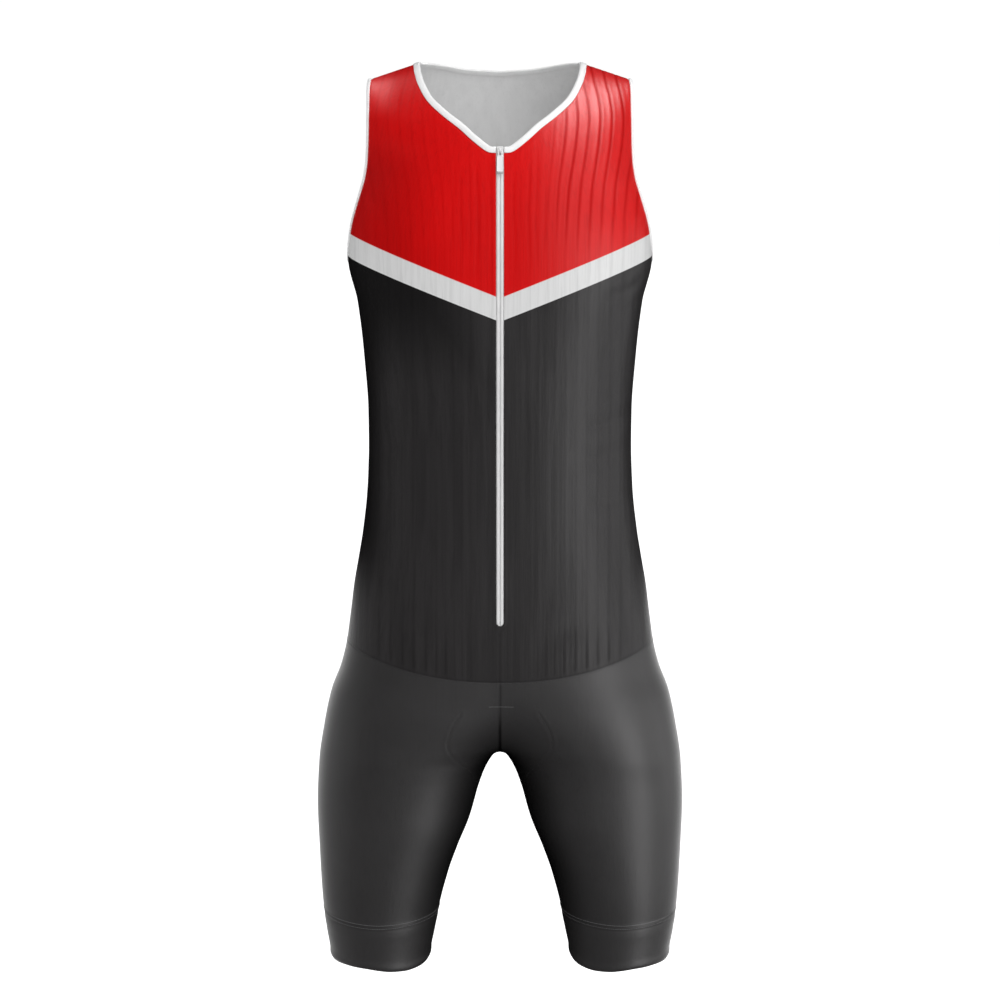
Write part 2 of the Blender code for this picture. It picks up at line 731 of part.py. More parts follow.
def build_slider(mats):
    frame = zip_frame()
    plate_mid = PLATE_LIFT + PLATE / 2
    mid_up = SLIDER_LONG / 2
    slider = box(
        "zip_slider", (2 * SLIDER_HALF, SLIDER_LONG, PLATE), (0, mid_up, plate_mid), frame, COLLECTION, bevel=0.0003
    )
    slider.data.materials.append(mats["metal"])
    back_mid = -0.0003 - PLATE / 2
    rear = hidden(
        box("slider_rear", (2 * SLIDER_HALF, SLIDER_LONG, PLATE), (0, mid_up, back_mid), frame, CUTTERS, bevel=0.0003)
    )
    web = hidden(
        box(
            "slider_web",
            (0.0030, SLIDER_LONG - 0.0060 - 0.0004, plate_mid - back_mid),
            (0, 0.0060 + (SLIDER_LONG - 0.0064) / 2, (plate_mid + back_mid) / 2),
            frame,
            CUTTERS,
        )
    )
    plate_top = PLATE_LIFT + PLATE
    post = 0.0024
    posts = [
        hidden(
            box(f"bail_post{k}", (2 * BAIL_HALF, 0.0008, post), (0, at, plate_top + post / 2 - 0.0004), frame, CUTTERS)
        )
        for k, at in enumerate((0.0014, 0.0048))
    ]
    bar = hidden(
        box(
            "bail_bar",
            (2 * BAIL_HALF, 0.0042, 0.0007),
            (0, 0.0031, plate_top + post - 0.0004 + 0.0007 / 2 - 0.0001),
            frame,
            CUTTERS,
        )
    )
    union(slider, [rear, web, *posts, bar])


def build_pull(mats):
    low, right, up, out = zip_frame()
    pivot = low + up * PIVOT_UP + out * PIVOT_OUT
    frame = (Vector((0, 0, 0)), right, up, out)
    long = PULL_TOP - PULL_LOW
    grip = box(
        "zip_pull",
        (2 * PULL_HALF, long, PULL_THICK),
        (0, (PULL_TOP + PULL_LOW) / 2 - PIVOT_UP, 0),
        frame,
        COLLECTION,
        bevel=0.0004,
    )
    grip.data.materials.append(mats["pull"])
    reach = PIVOT_UP - PULL_TOP + 0.0008
    arms = []
    for k, sign in enumerate((-1, 1)):
        arm = hidden(
            box(
                f"pull_arm{k}",
                (ARM_OUT - ARM_IN, reach, 2 * BAR_RADIUS),
                (sign * (ARM_IN + ARM_OUT) / 2, -reach / 2, 0),
                frame,
                CUTTERS,
            )
        )
        arms.append(arm)
    bpy.ops.mesh.primitive_cylinder_add(vertices=16, radius=BAR_RADIUS + 0.00003, depth=2 * ARM_OUT + 0.00004)
    bar = bpy.context.object
    bar.name = "pull_bar"
    bar.data.transform(Matrix.Rotation(math.pi / 2, 4, "Y"))
    for c in list(bar.users_collection):
        c.objects.unlink(bar)
    CUTTERS.objects.link(bar)
    hidden(bar)
    union(grip, [*arms, bar])
    for obj in [grip, *arms, bar]:
        obj.location = pivot
    return pivot


def main():
    for obj in list(bpy.data.objects):
        bpy.data.objects.remove(obj)
    bpy.context.scene.collection.children.link(COLLECTION)
    bpy.context.scene.collection.children.link(CUTTERS)
    mats = {
        "front": material("front_print", (0.55, 0.012, 0.015), 0.55),
        "back": material("back_print", (0.5, 0.011, 0.014), 0.55),
        "leg": material("leg_knit", (0.032, 0.031, 0.031), 0.55),
        "cuff": material("cuff_knit", (0.038, 0.036, 0.036), 0.6),
        "binding": material("binding_white", (0.8, 0.8, 0.8), 0.7),
        "tape": material("zip_tape_white", (0.7, 0.7, 0.71), 0.6),
        "metal": material("slider_white", (0.72, 0.72, 0.73), 0.35),
        "pull": material("pull_white", (0.8, 0.8, 0.8), 0.35),
    }
    build_torso(mats)
    build_legs(mats)
    build_bindings(mats)
    build_tapes(mats)
    build_slider(mats)
    build_pull(mats)
    bpy.context.view_layer.update()


main()
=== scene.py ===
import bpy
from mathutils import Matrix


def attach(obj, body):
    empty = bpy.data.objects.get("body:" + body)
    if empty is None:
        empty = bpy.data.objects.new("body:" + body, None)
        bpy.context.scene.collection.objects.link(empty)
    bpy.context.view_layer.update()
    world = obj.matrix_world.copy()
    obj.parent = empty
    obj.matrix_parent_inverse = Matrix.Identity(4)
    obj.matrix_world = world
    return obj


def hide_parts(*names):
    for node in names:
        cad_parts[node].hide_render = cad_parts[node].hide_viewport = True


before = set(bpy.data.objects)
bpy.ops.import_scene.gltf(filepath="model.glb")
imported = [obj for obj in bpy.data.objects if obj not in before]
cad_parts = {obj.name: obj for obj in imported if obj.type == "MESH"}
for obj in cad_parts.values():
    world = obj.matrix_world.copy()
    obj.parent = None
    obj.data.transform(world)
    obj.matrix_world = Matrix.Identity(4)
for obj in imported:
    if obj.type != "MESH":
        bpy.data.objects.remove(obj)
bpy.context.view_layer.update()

# Looks of the sleeveless skinsuit: fine knitted shells on the form of its solids, folded bindings,
# zip, stitching, and the studio. Metres, +Z up, front towards -Y.

import math

import bmesh
import bpy
import numpy as np
from mathutils import Matrix, Vector

BODY, PULL_BODY = "garment", "pull_tab"

# ------------------------------------------------------------------ camera
camera_data = bpy.data.cameras.new("camera")
camera = bpy.data.objects.new("camera", camera_data)
bpy.context.scene.collection.objects.link(camera)
camera.location = (0.0, -3.3, 0.0)
camera.rotation_euler = (math.radians(90 - 7.784), 0.0, 0.0)
camera_data.lens = 114.3
camera_data.sensor_width = 36.0
camera_data.clip_end = 200.0
bpy.context.scene.camera = camera

# ------------------------------------------------------------------ sizes (metres)
CLOTH = 0.0015  # wall of every knitted panel
BINDING = 0.0022  # wall of the folded bindings
BINDING_SINK = 0.0004  # how far a binding reaches inside the panel's inner face
TAPE = 0.0014  # wall of the zip tapes
SEAM_GAP = 0.0003  # between the edges of two neighbouring pieces
STRIP = 0.003  # narrow strip along every cut edge

UNDERARM_Z = -0.197  # level of the underarm, where the vault begins
VAULT_STEP = 0.34  # height below the underarm for one unit of the length coordinate
RIDGE_TOP = 0.0219  # height of the shoulder ridge carried on to the middle
RIDGE_SLOPE = 0.345  # fall of the shoulder ridge
RIDGE_ROUND = 0.030  # rounding of the ridge over the middle
FOLD = 0.020  # rounding of the form across its middle plane

NECK_SIDE_X = 0.0885  # neck-side end of the shoulder seam, outer edge of the binding
NECK_BINDING_WIDE = 0.0063
ARM_BINDING_WIDE = 0.0038
ARMHOLE_REACH = 0.45  # depth of the armhole edge as a share of the section's depth
ARMHOLE_FULL_Z = -0.105  # above this level the armhole keeps that share

ZIP_HALF = 0.0040  # half width of the closed zip where it shows
ZIP_END_Z = -0.567  # lower end of the zip
CROTCH_Z = -0.7166
WAIST_FRONT_Z = -0.625  # waist seam at the front middle
WAIST_CURVE = 1.18  # rise of the front waist seam, per square metre of half width
WAIST_BACK_RISE = 0.008  # further rise from the side to the back middle
CUFF_Z = -0.8915  # seam between leg and cuff
HEM_Z = -0.9405

# Outline seen from the front, to the outer face of the cloth.
OUTLINE = [  # z, half_width
    (0.060, 0.1385),
    (-0.015, 0.1381),
    (-0.040, 0.1370),
    (-0.074, 0.1367),
    (-0.095, 0.1373),
    (-0.112, 0.1395),
    (-0.129, 0.1442),
    (-0.142, 0.1481),
    (-0.157, 0.1522),
    (-0.171, 0.1547),
    (-0.197, 0.1573),
    (-0.241, 0.1477),
    (-0.298, 0.1413),
    (-0.354, 0.1374),
    (-0.389, 0.1371),
    (-0.434, 0.1386),
    (-0.481, 0.1436),
    (-0.515, 0.1492),
    (-0.538, 0.1532),
    (-0.572, 0.1575),
    (-0.600, 0.1615),
    (-0.626, 0.1680),
    (-0.653, 0.1782),
    (-0.688, 0.1857),
    (-0.727, 0.1914),
    (-0.772, 0.1934),
    (-0.819, 0.1918),
    (-0.874, 0.1889),
    (-0.908, 0.1850),
    (-0.942, 0.1803),
]
# Half of the gap between the legs, to the outer face of the cloth.
LEG_GAP = [  # z, half_gap
    (-0.7230, 0.0085),
    (-0.7534, 0.0223),
    (-0.7914, 0.0333),
    (-0.8197, 0.0449),
    (-0.8492, 0.0552),
    (-0.8864, 0.0647),
    (-0.9420, 0.0745),
]
# Where each half of the hips is centred above the crotch.
HIP = [  # z, centre
    (-0.4600, 0.0000),
    (-0.5400, 0.0080),
    (-0.5800, 0.0200),
    (-0.6200, 0.0370),
    (-0.6550, 0.0625),
    (-0.6800, 0.0820),
    (-0.7000, 0.0960),
]
# Side profile of the general figure.
PROFILE = [  # z, front, back, squareness
    (-0.197, 0.112, 0.104, 2.75),
    (-0.260, 0.111, 0.101, 2.60),
    (-0.330, 0.106, 0.094, 2.45),
    (-0.390, 0.101, 0.088, 2.35),
    (-0.450, 0.100, 0.088, 2.30),
    (-0.510, 0.102, 0.096, 2.30),
    (-0.570, 0.105, 0.110, 2.30),
    (-0.620, 0.107, 0.121, 2.35),
    (-0.660, 0.106, 0.124, 2.35),
    (-0.700, 0.101, 0.117, 2.30),
    (-0.740, 0.094, 0.104, 2.20),
    (-0.790, 0.088, 0.093, 2.15),
    (-0.850, 0.080, 0.082, 2.10),
    (-0.900, 0.072, 0.073, 2.10),
    (-0.942, 0.067, 0.067, 2.10),
]
# Seam line between the front panel and the neck binding.
FRONT_NECK = [  # x, z
    (0.0040, -0.0864),
    (0.0130, -0.0849),
    (0.0271, -0.0745),
    (0.0411, -0.0621),
    (0.0562, -0.0507),
    (0.0725, -0.0359),
    (0.0821, -0.0201),
    (0.0868, -0.0070),
]
# Seam line between the back panel and the neck binding.
BACK_NECK = [  # x, z
    (0.0850, -0.0008),
    (0.0770, -0.0012),
    (0.0600, -0.0040),
    (0.0350, -0.0085),
    (0.0000, -0.0108),
]


# ------------------------------------------------------------------ curves through the tables
def curve(rows, column):
    """A smooth curve through one column of a table, with no overshoot, as a function of z."""
    pts = sorted((row[0], row[column]) for row in rows)
    z = np.array([p[0] for p in pts])
    v = np.array([p[1] for p in pts])
    h = np.diff(z)
    d = np.diff(v) / h
    m = np.zeros(len(z))
    for i in range(1, len(z) - 1):
        if d[i - 1] * d[i] > 0:
            w1, w2 = 2 * h[i] + h[i - 1], h[i] + 2 * h[i - 1]
            m[i] = (w1 + w2) / (w1 / d[i - 1] + w2 / d[i])
    m[0], m[-1] = 0.0, 0.0

    def f(x):
        x = np.clip(np.asarray(x, float), z[0], z[-1])
        k = np.clip(np.searchsorted(z, x) - 1, 0, len(h) - 1)
        t = (x - z[k]) / h[k]
        a, b = 2 * t**3 - 3 * t**2 + 1, t**3 - 2 * t**2 + t
        return a * v[k] + b * h[k] * m[k] + (1 - a) * v[k + 1] + (t**3 - t**2) * h[k] * m[k + 1]

    return f


outline = curve(OUTLINE, 1)
front_depth = curve(PROFILE, 1)
back_depth = curve(PROFILE, 2)
squareness = curve(PROFILE, 3)


def folded(x):
    """Distance from the middle plane, rounded at the middle."""
    return np.sqrt(x * x + FOLD * FOLD)


def _hip_rows():
    rows = list(HIP)
    rows.append((CROTCH_Z, (folded(float(outline(CROTCH_Z)) - CLOTH) + FOLD) / 2))
    for z, gap in LEG_GAP:
        outer = folded(float(outline(z)) - CLOTH)
        rows.append((z, (outer + folded(gap + CLOTH)) / 2))
    return rows


centre = curve(_hip_rows(), 1)


def armhole_share(z):
    """Depth of the armhole edge at height z, as a share of the section's depth."""
    t = np.clip((ARMHOLE_FULL_Z - z) / (ARMHOLE_FULL_Z - UNDERARM_Z), 0, 1)
    return ARMHOLE_REACH * np.sqrt(np.clip(1 - t * t, 0, 1))


def half_section(z):
    """Half width of one section about its centre."""
    n = squareness(z)
    edge = (1 - armhole_share(z) ** n) ** (1 / n)
    return folded(outline(z) - CLOTH) / edge - centre(z)


def ridge(x):
    """Height of the shoulder ridge above the underarm level."""
    return RIDGE_TOP - RIDGE_SLOPE * (np.sqrt(x * x + RIDGE_ROUND**2) - RIDGE_ROUND) - UNDERARM_Z


def section(turn, z):
    """Point of the section at height z: turn 0 is the front, pi/2 the outer side, pi the back."""
    n = squareness(z)
    s, c = np.sin(turn), np.cos(turn)
    reach = (np.abs(s) ** n + np.abs(c) ** n) ** (-1 / n)
    x = centre(z) + half_section(z) * reach * s
    x = np.sqrt(np.clip(x * x - FOLD * FOLD, 0, None))
    depth = np.where(c >= 0, -front_depth(z), back_depth(z))
    return x, depth * reach * np.abs(c)


def form(turn, length):
    """Point of the body form. length is 1 on the shoulder ridge, 0 at the front underarm level and
    2 at the back one, and goes on below them; turn runs from the middle to the side."""
    turn, length = np.broadcast_arrays(np.asarray(turn, float), np.asarray(length, float))
    front = length <= 1
    q = np.where(front, length, 2 - length)
    lift = np.sin(np.clip(q, 0, 1) * math.pi / 2)
    z = np.where(q >= 0, UNDERARM_Z + 0.2 * lift, UNDERARM_Z + VAULT_STEP * q)
    for _ in range(8):
        x, y = section(turn, z)
        z = np.where(q >= 0, UNDERARM_Z + ridge(x) * lift, UNDERARM_Z + VAULT_STEP * q)
    shrink = np.cos(np.clip(q, 0, 1) * math.pi / 2)
    low = np.minimum(z, UNDERARM_Z)
    depth = np.where(front, front_depth(low), back_depth(low))
    share = -y / np.where(np.cos(turn) >= 0, front_depth(z), back_depth(z))
    y = np.where(front, -1.0, 1.0) * depth * share * shrink
    return np.stack([x, y, z], -1)


def place(x, z, back=False):
    """The (turn, length) of the form at a given x and z, on the front or the back."""
    q = (z - UNDERARM_Z) / VAULT_STEP
    if z > UNDERARM_Z:
        q = math.asin(min(1.0, (z - UNDERARM_Z) / float(ridge(np.float64(x))))) / (math.pi / 2)
    n = float(squareness(z))
    s = (float(folded(np.float64(x))) - float(centre(z))) / float(half_section(z))
    s = max(-1.0, min(1.0, s))
    turn = math.atan2(s, (1 - abs(s) ** n) ** (1 / n))
    return turn, (2 - q if back else q)


def slopes(turn, length):
    h = 1e-4
    a = (form(turn + h, length) - form(turn - h, length)) / (2 * h)
    b = (form(turn, length + h) - form(turn, length - h)) / (2 * h)
    return a, b


def shifted(path, distance):
    """A curve on the form moved sideways over the surface, to its left as seen from outside."""
    path = np.asarray(path, float)
    a, b = slopes(path[:, 0], path[:, 1])
    la, lb = np.linalg.norm(a, axis=1), np.linalg.norm(b, axis=1)
    step = np.gradient(path, axis=0)
    along = np.stack([step[:, 0] * la, step[:, 1] * lb], 1)
    along /= np.linalg.norm(along, axis=1)[:, None]
    return path + distance * np.stack([-along[:, 1] / la, along[:, 0] / lb], 1)


def rounded(points, per=24):
    """A smooth curve through a few points of a plane."""
    p = [np.array(q, float) for q in points]
    p = [2 * p[0] - p[1]] + p + [2 * p[-1] - p[-2]]
    out = []
    for i in range(1, len(p) - 2):
        for k in range(per):
            t = k / per
            a, b, c, d = p[i - 1], p[i], p[i + 1], p[i + 2]
            out.append(
                0.5 * (2 * b + (c - a) * t + (2 * a - 5 * b + 4 * c - d) * t * t + (3 * b - a - 3 * c + d) * t**3)
            )
    out.append(p[-2])
    return np.array(out)


# ------------------------------------------------------------------ the cut edges
def neck_line(rows, back):
    path = [place(x, z, back) for x, z in rounded(rows)]
    n = float(squareness(0.0))
    s = float(folded(np.float64(NECK_SIDE_X))) / float(half_section(0.0))
    side = (math.atan2(s, (1 - s**n) ** (1 / n)), 1.0)
    return np.array(path + [side] if not back else [side] + path)


FRONT_NECK_SEAM = neck_line(FRONT_NECK, False)
BACK_NECK_SEAM = neck_line(BACK_NECK, True)


def armhole_edge(count=40):
    """Free edge of the front half of an armhole, from the underarm up to the shoulder ridge."""
    path = []
    for k in range(count + 1):
        a = math.pi / 2 * k / count
        z = ARMHOLE_FULL_Z - (ARMHOLE_FULL_Z - UNDERARM_Z) * math.cos(a)
        share = ARMHOLE_REACH * math.sin(a)
        n = float(squareness(z))
        turn = math.atan2((1 - share**n) ** (1 / n), share)
        x = float(section(turn, z)[0])
        q = math.asin(min(1.0, max(0.0, (z - UNDERARM_Z) / float(ridge(np.float64(x)))))) / (math.pi / 2)
        path.append((turn, q))
    turn, q = path[-1]
    for k in range(1, count + 1):
        path.append((turn, q + (1 - q) * k / count))
    return np.array(path)


ARM_EDGE = armhole_edge()
_loop = np.concatenate([[(math.pi - ARM_EDGE[1, 0], ARM_EDGE[1, 1])], ARM_EDGE, [(ARM_EDGE[-1, 0], 1.04)]])
ARM_SEAM = shifted(_loop, ARM_BINDING_WIDE)[1:-1]
ARM_SEAM[0] = (math.pi / 2, ARM_SEAM[0, 1])
ARM_SEAM[-1, 1] = 1.0


def waist_z(turn, back):
    """Height of the waist seam at one turn."""
    side_x = float(outline(-0.59)) - CLOTH
    z = WAIST_FRONT_Z
    for _ in range(12):
        x = float(section(turn, z)[0])
        z = WAIST_FRONT_Z + WAIST_CURVE * x * x
        if back:
            z = WAIST_FRONT_Z + WAIST_CURVE * side_x**2 + WAIST_BACK_RISE * (1 - min(1.0, x / side_x) ** 2)
    return z


def zip_edge_x(z):
    """Half width of the cut for the zip, which ends in a half round."""
    d = z - ZIP_END_Z
    if d <= 0:
        return 0.0
    h = ZIP_HALF
    return h if d >= h else math.sqrt(h * h - (h - d) ** 2)


def across(path, shares):
    pts = form(path[:, 0], path[:, 1])
    s = np.concatenate([[0], np.cumsum(np.linalg.norm(np.diff(pts, axis=0), axis=1))])
    t = np.asarray(shares) * s[-1]
    return np.stack([np.interp(t, s, path[:, k]) for k in (0, 1)], 1)


SLIDER_LOW_Z = -0.0880  # lower edge of the slider
SLIDER_LONG = 0.0080
SLIDER_HALF = 0.0037
PLATE = 0.0012
PLATE_LIFT = 0.0017  # inner face of the slider's front plate above the form
BAIL_HALF = 0.0007
PIVOT_UP = 0.00265  # the pull's cross bar, up from the slider's lower edge
PIVOT_OUT = 0.00375  # and out from the form
BAR_RADIUS = 0.00055
PULL_HALF = 0.0036
PULL_TOP = -0.0010  # upper edge of the grip, from the slider's lower edge
PULL_LOW = -0.0212
PULL_THICK = 0.0013
ARM_IN, ARM_OUT = 0.0011, 0.0023


def zip_frame():
    """Axes at the slider's lower edge: across, up along the zip, and outwards."""
    low = Vector(front_point(0.0, SLIDER_LOW_Z))
    high = Vector(front_point(0.0, SLIDER_LOW_Z + 0.006))
    up = (high - low).normalized()
    across_ = Vector((1, 0, 0))
    out = up.cross(across_).normalized()
    if out.y > 0:
        out = -out
    return low, across_, up, out


def front_point(x, z):
    turn, q = place(x, z)
    return form(turn, q)


# ------------------------------------------------------------------ fine grids on the form
NECK_COLS, SHOULDER_COLS = 92, 56
ARM_ROWS, SIDE_ROWS = 78, 126
BACK_NECK_COLS, BACK_SHOULDER_COLS = 72, 40
BACK_ARM_ROWS, BACK_SIDE_ROWS = 66, 104
EVEN_FROM, EVEN_TIMES = 0.35, 14
CORNER = 0.63  # share of a panel's width at which its neckline ends, for the blend of its edges


def smooth(x, a, b):
    t = np.clip((x - a) / (b - a), 0, 1)
    return t * t * (3 - 2 * t)


def on_back(path):
    return np.stack([path[:, 0], 2 - path[:, 1]], 1)


def side_path(back, arm_rows, side_rows):
    """Armhole seam from the shoulder ridge down, then the side seam to the waist."""
    arm = across(ARM_SEAM, np.linspace(0, 1, arm_rows))[::-1]
    arm[-1, 0] = math.pi / 2
    end = (waist_z(math.pi / 2, False) - UNDERARM_Z) / VAULT_STEP
    side = np.array([(math.pi / 2, arm[-1, 1] + (end - arm[-1, 1]) * k / 200) for k in range(201)])
    path = np.concatenate([arm, across(side, np.linspace(0, 1, side_rows))[1:]])
    return on_back(path) if back else path


def waist_path(back):
    """Waist seam from the middle to the side."""
    z = waist_z(0.3, back)
    for _ in range(20):
        middle = place(0.0, z)[0]
        z = waist_z(middle, back)
    turns = middle + (math.pi / 2 - middle) * np.linspace(0, 1, 181)
    path = np.array([(t, (waist_z(t, back) - UNDERARM_Z) / VAULT_STEP) for t in turns])
    return on_back(path) if back else path


WAIST_PATHS = {False: waist_path(False), True: waist_path(True)}


def panel_grid(back, neck_cols, shoulder_cols, arm_rows, side_rows):
    seam = BACK_NECK_SEAM[::-1] if back else FRONT_NECK_SEAM
    neck = across(seam, np.linspace(0, 1, neck_cols))
    turns = np.linspace(neck[-1, 0], ARM_SEAM[-1, 0], 60)
    shoulder = np.stack([turns, np.ones(60)], 1)
    top = np.concatenate([neck, across(shoulder, np.linspace(0, 1, shoulder_cols))[1:]])
    u = np.concatenate([np.linspace(0, CORNER, neck_cols), np.linspace(CORNER, 1, shoulder_cols)[1:]])
    bottom = across(WAIST_PATHS[back], u)
    right = side_path(back, arm_rows, side_rows)
    pts = form(right[:, 0], right[:, 1])
    v = np.concatenate([[0], np.cumsum(np.linalg.norm(np.diff(pts, axis=0), axis=1))])
    v /= v[-1]
    z_top = BACK_NECK[-1][1] if back else FRONT_NECK[0][1]
    z_low = waist_z(bottom[0, 0], back)
    heights = z_top + (z_low - z_top) * v
    if not back:
        k = int(np.argmin(np.abs(heights - ZIP_END_Z - ZIP_HALF / 2)))
        heights[k - 3 : k + 4] = ZIP_END_Z + ZIP_HALF * (1 - np.sin(np.linspace(0, math.pi / 2, 7)))
    left = np.array([place(0.0 if back else zip_edge_x(z), z, back) for z in heights])
    top[0], bottom[0] = left[0], left[-1]
    a, b = u[None, :, None], v[:, None, None]
    grid = (
        (1 - b) * top[None]
        + b * bottom[None]
        + (1 - a) * left[:, None]
        + a * right[:, None]
        - (1 - a) * (1 - b) * top[0]
        - a * (1 - b) * top[-1]
        - (1 - a) * b * bottom[0]
        - a * b * bottom[-1]
    )
    # Round the inward corner under the arm the blend folds over itself, so the points are evened out there.
    row, col = np.meshgrid(np.arange(len(v)), np.arange(len(u)), indexing="ij")
    part = smooth(col, EVEN_FROM * len(u), (EVEN_FROM + 0.2) * len(u)) * smooth(len(v) - row, 0, 30)
    part = np.clip(part * smooth(row, 0, 12), 0, 1)[1:-1, 1:-1, None]
    for _ in range(EVEN_TIMES):
        mean = (grid[2:, 1:-1] + grid[:-2, 1:-1] + grid[1:-1, 2:] + grid[1:-1, :-2]) / 4
        grid[1:-1, 1:-1] += part * (mean - grid[1:-1, 1:-1])
    return grid


def normals(pts, closed=False, hub=None):
    """Unit normals of a grid of points, away from the hub line."""
    if closed:
        du = (np.roll(pts, -1, 1) - np.roll(pts, 1, 1)) / 2
    else:
        du = np.gradient(pts, axis=1, edge_order=2)
    dv = np.gradient(pts, axis=0, edge_order=2)
    n = np.cross(du, dv)
    n /= np.maximum(np.linalg.norm(n, axis=-1, keepdims=True), 1e-12)
    if hub is None:
        away = np.stack([pts[..., 0], pts[..., 1], pts[..., 2] - np.minimum(pts[..., 2], UNDERARM_Z)], -1)
    else:
        away = np.stack([pts[..., 0] - hub(pts[..., 2]), pts[..., 1], 0 * pts[..., 2]], -1)
    return n * (1 if np.sum(n * away) > 0 else -1)


def edge_distances(pts, closed=False):
    """Distance over the surface from each point to the left, right, top and bottom edge."""
    du = np.linalg.norm(np.diff(pts, axis=1), axis=-1)
    dv = np.linalg.norm(np.diff(pts, axis=0), axis=-1)
    zero_u, zero_v = np.zeros((pts.shape[0], 1)), np.zeros((1, pts.shape[1]))
    left = np.concatenate([zero_u, np.cumsum(du, 1)], 1)
    top = np.concatenate([zero_v, np.cumsum(dv, 0)], 0)
    far = np.full(pts.shape[:2], 9.0)
    if closed:
        return far, far, top, top[-1:] - top
    return left, left[:, -1:] - left, top, top[-1:] - top


def bump(d, wide):
    return np.exp(-((d / wide) ** 2))


def grid_mesh(name, pts, mats, closed=False, mirror=False, out_of=None, attributes=None, groups=None):
    """A mesh through a grid of points, its faces turned the way of out_of."""
    rows, cols = pts.shape[:2]
    verts = pts.reshape(-1, 3).copy()
    facing = out_of.reshape(-1, 3).copy()
    if mirror:
        verts[:, 0] *= -1
        facing[:, 0] *= -1
    i, j = np.meshgrid(np.arange(rows - 1), np.arange(cols if closed else cols - 1), indexing="ij")
    k = (j + 1) % cols
    quads = np.stack([i * cols + j, i * cols + k, (i + 1) * cols + k, (i + 1) * cols + j], -1).reshape(-1, 4)
    p = verts[quads]
    face_n = np.cross(p[:, 2] - p[:, 0], p[:, 3] - p[:, 1])
    if np.sum(face_n * facing[quads[:, 0]]) < 0:
        quads = quads[:, ::-1]
    mesh = bpy.data.meshes.new(name)
    mesh.from_pydata(verts.tolist(), [], quads.tolist())
    mesh.shade_smooth()
    # The cut edges stay crisp, so that the cloth's shading doesn't bend round them.
    ends = np.empty(len(mesh.edges) * 2, np.int32)
    mesh.edges.foreach_get("vertices", ends)
    row, col = ends.reshape(-1, 2) // cols, ends.reshape(-1, 2) % cols
    crisp = np.all(row == 0, 1) | np.all(row == rows - 1, 1)
    if not closed:
        crisp |= np.all(col == 0, 1) | np.all(col == cols - 1, 1)
    mesh.attributes.new("sharp_edge", "BOOLEAN", "EDGE").data.foreach_set("value", crisp)
    for mat in mats:
        mesh.materials.append(mat)
    for key, values in (attributes or {}).items():
        values = np.asarray(values, np.float32)
        if values.ndim == 3:
            att = mesh.attributes.new(key, "FLOAT_VECTOR", "POINT")
            att.data.foreach_set("vector", values.reshape(-1))
        else:
            att = mesh.attributes.new(key, "FLOAT", "POINT")
            att.data.foreach_set("value", values.reshape(-1))
    if groups is not None:
        mesh.polygons.foreach_set("material_index", np.asarray(groups, np.int32).reshape(-1))
    obj = bpy.data.objects.new(name, mesh)
    bpy.context.scene.collection.objects.link(obj)
    return obj


def shell(name, pts, relief, mats, closed=False, mirror=False, hub=None, thick=0.0010, attributes=None):
    """Cloth: the grid moved out by the wall and the relief, and thickened inwards."""
    n = normals(pts, closed, hub)
    if not closed and np.all(np.abs(pts[:, 0, 0]) < 1e-9):
        n[:, 0, 0] = 0.0
        n[:, 0] /= np.linalg.norm(n[:, 0], axis=-1, keepdims=True)
    outer = pts + n * (CLOTH + relief)[..., None]
    if not closed and np.all(np.abs(pts[:, 0, 0]) < 1e-9):
        outer[:, 0, 0] = 0.0
    obj = grid_mesh(name, outer, mats, closed, mirror, n, attributes)
    mod = obj.modifiers.new("wall", "SOLIDIFY")
    mod.thickness = thick
    mod.offset = -1.0
    mod.use_even_offset = False
    mod.material_offset = 1
    return obj, outer, n


def polyline(points, per=8):
    """A smooth line through points of space."""
    return rounded([np.asarray(p, float) for p in points], per)


def near(pts, line):
    """Distance of each point to a line of points, and the share along it of the closest place."""
    flat = pts.reshape(-1, 3)
    best = np.full(len(flat), 9.0)
    share = np.zeros(len(flat))
    low, high = line.min(0) - 0.05, line.max(0) + 0.05
    pick = np.nonzero(np.all((flat > low) & (flat < high), 1))[0]
    some = flat[pick]
    d_best, s_best = np.full(len(some), 9.0), np.zeros(len(some))
    for k in range(len(line) - 1):
        ab = line[k + 1] - line[k]
        t = np.clip((some - line[k]) @ ab / max(ab @ ab, 1e-12), 0, 1)
        d = np.linalg.norm(some - line[k] - t[:, None] * ab, axis=1)
        closer = d < d_best
        d_best[closer] = d[closer]
        s_best[closer] = ((k + t) / (len(line) - 1))[closer]
    best[pick], share[pick] = d_best, s_best
    return best.reshape(pts.shape[:2]), share.reshape(pts.shape[:2])


def creases(pts, lines):
    """Soft troughs (negative depth) and ridges along given lines, fading out at both ends."""
    out = np.zeros(pts.shape[:2])
    for points, wide, depth in lines:
        d, share = near(pts, polyline(points))
        taper = np.sin(np.clip(share, 0, 1) * math.pi) ** 0.8
        out += depth * taper * np.exp(-((d / wide) ** 2))
        out -= 0.45 * depth * taper * np.exp(-(((d - 1.9 * wide) / wide) ** 2))
    return out


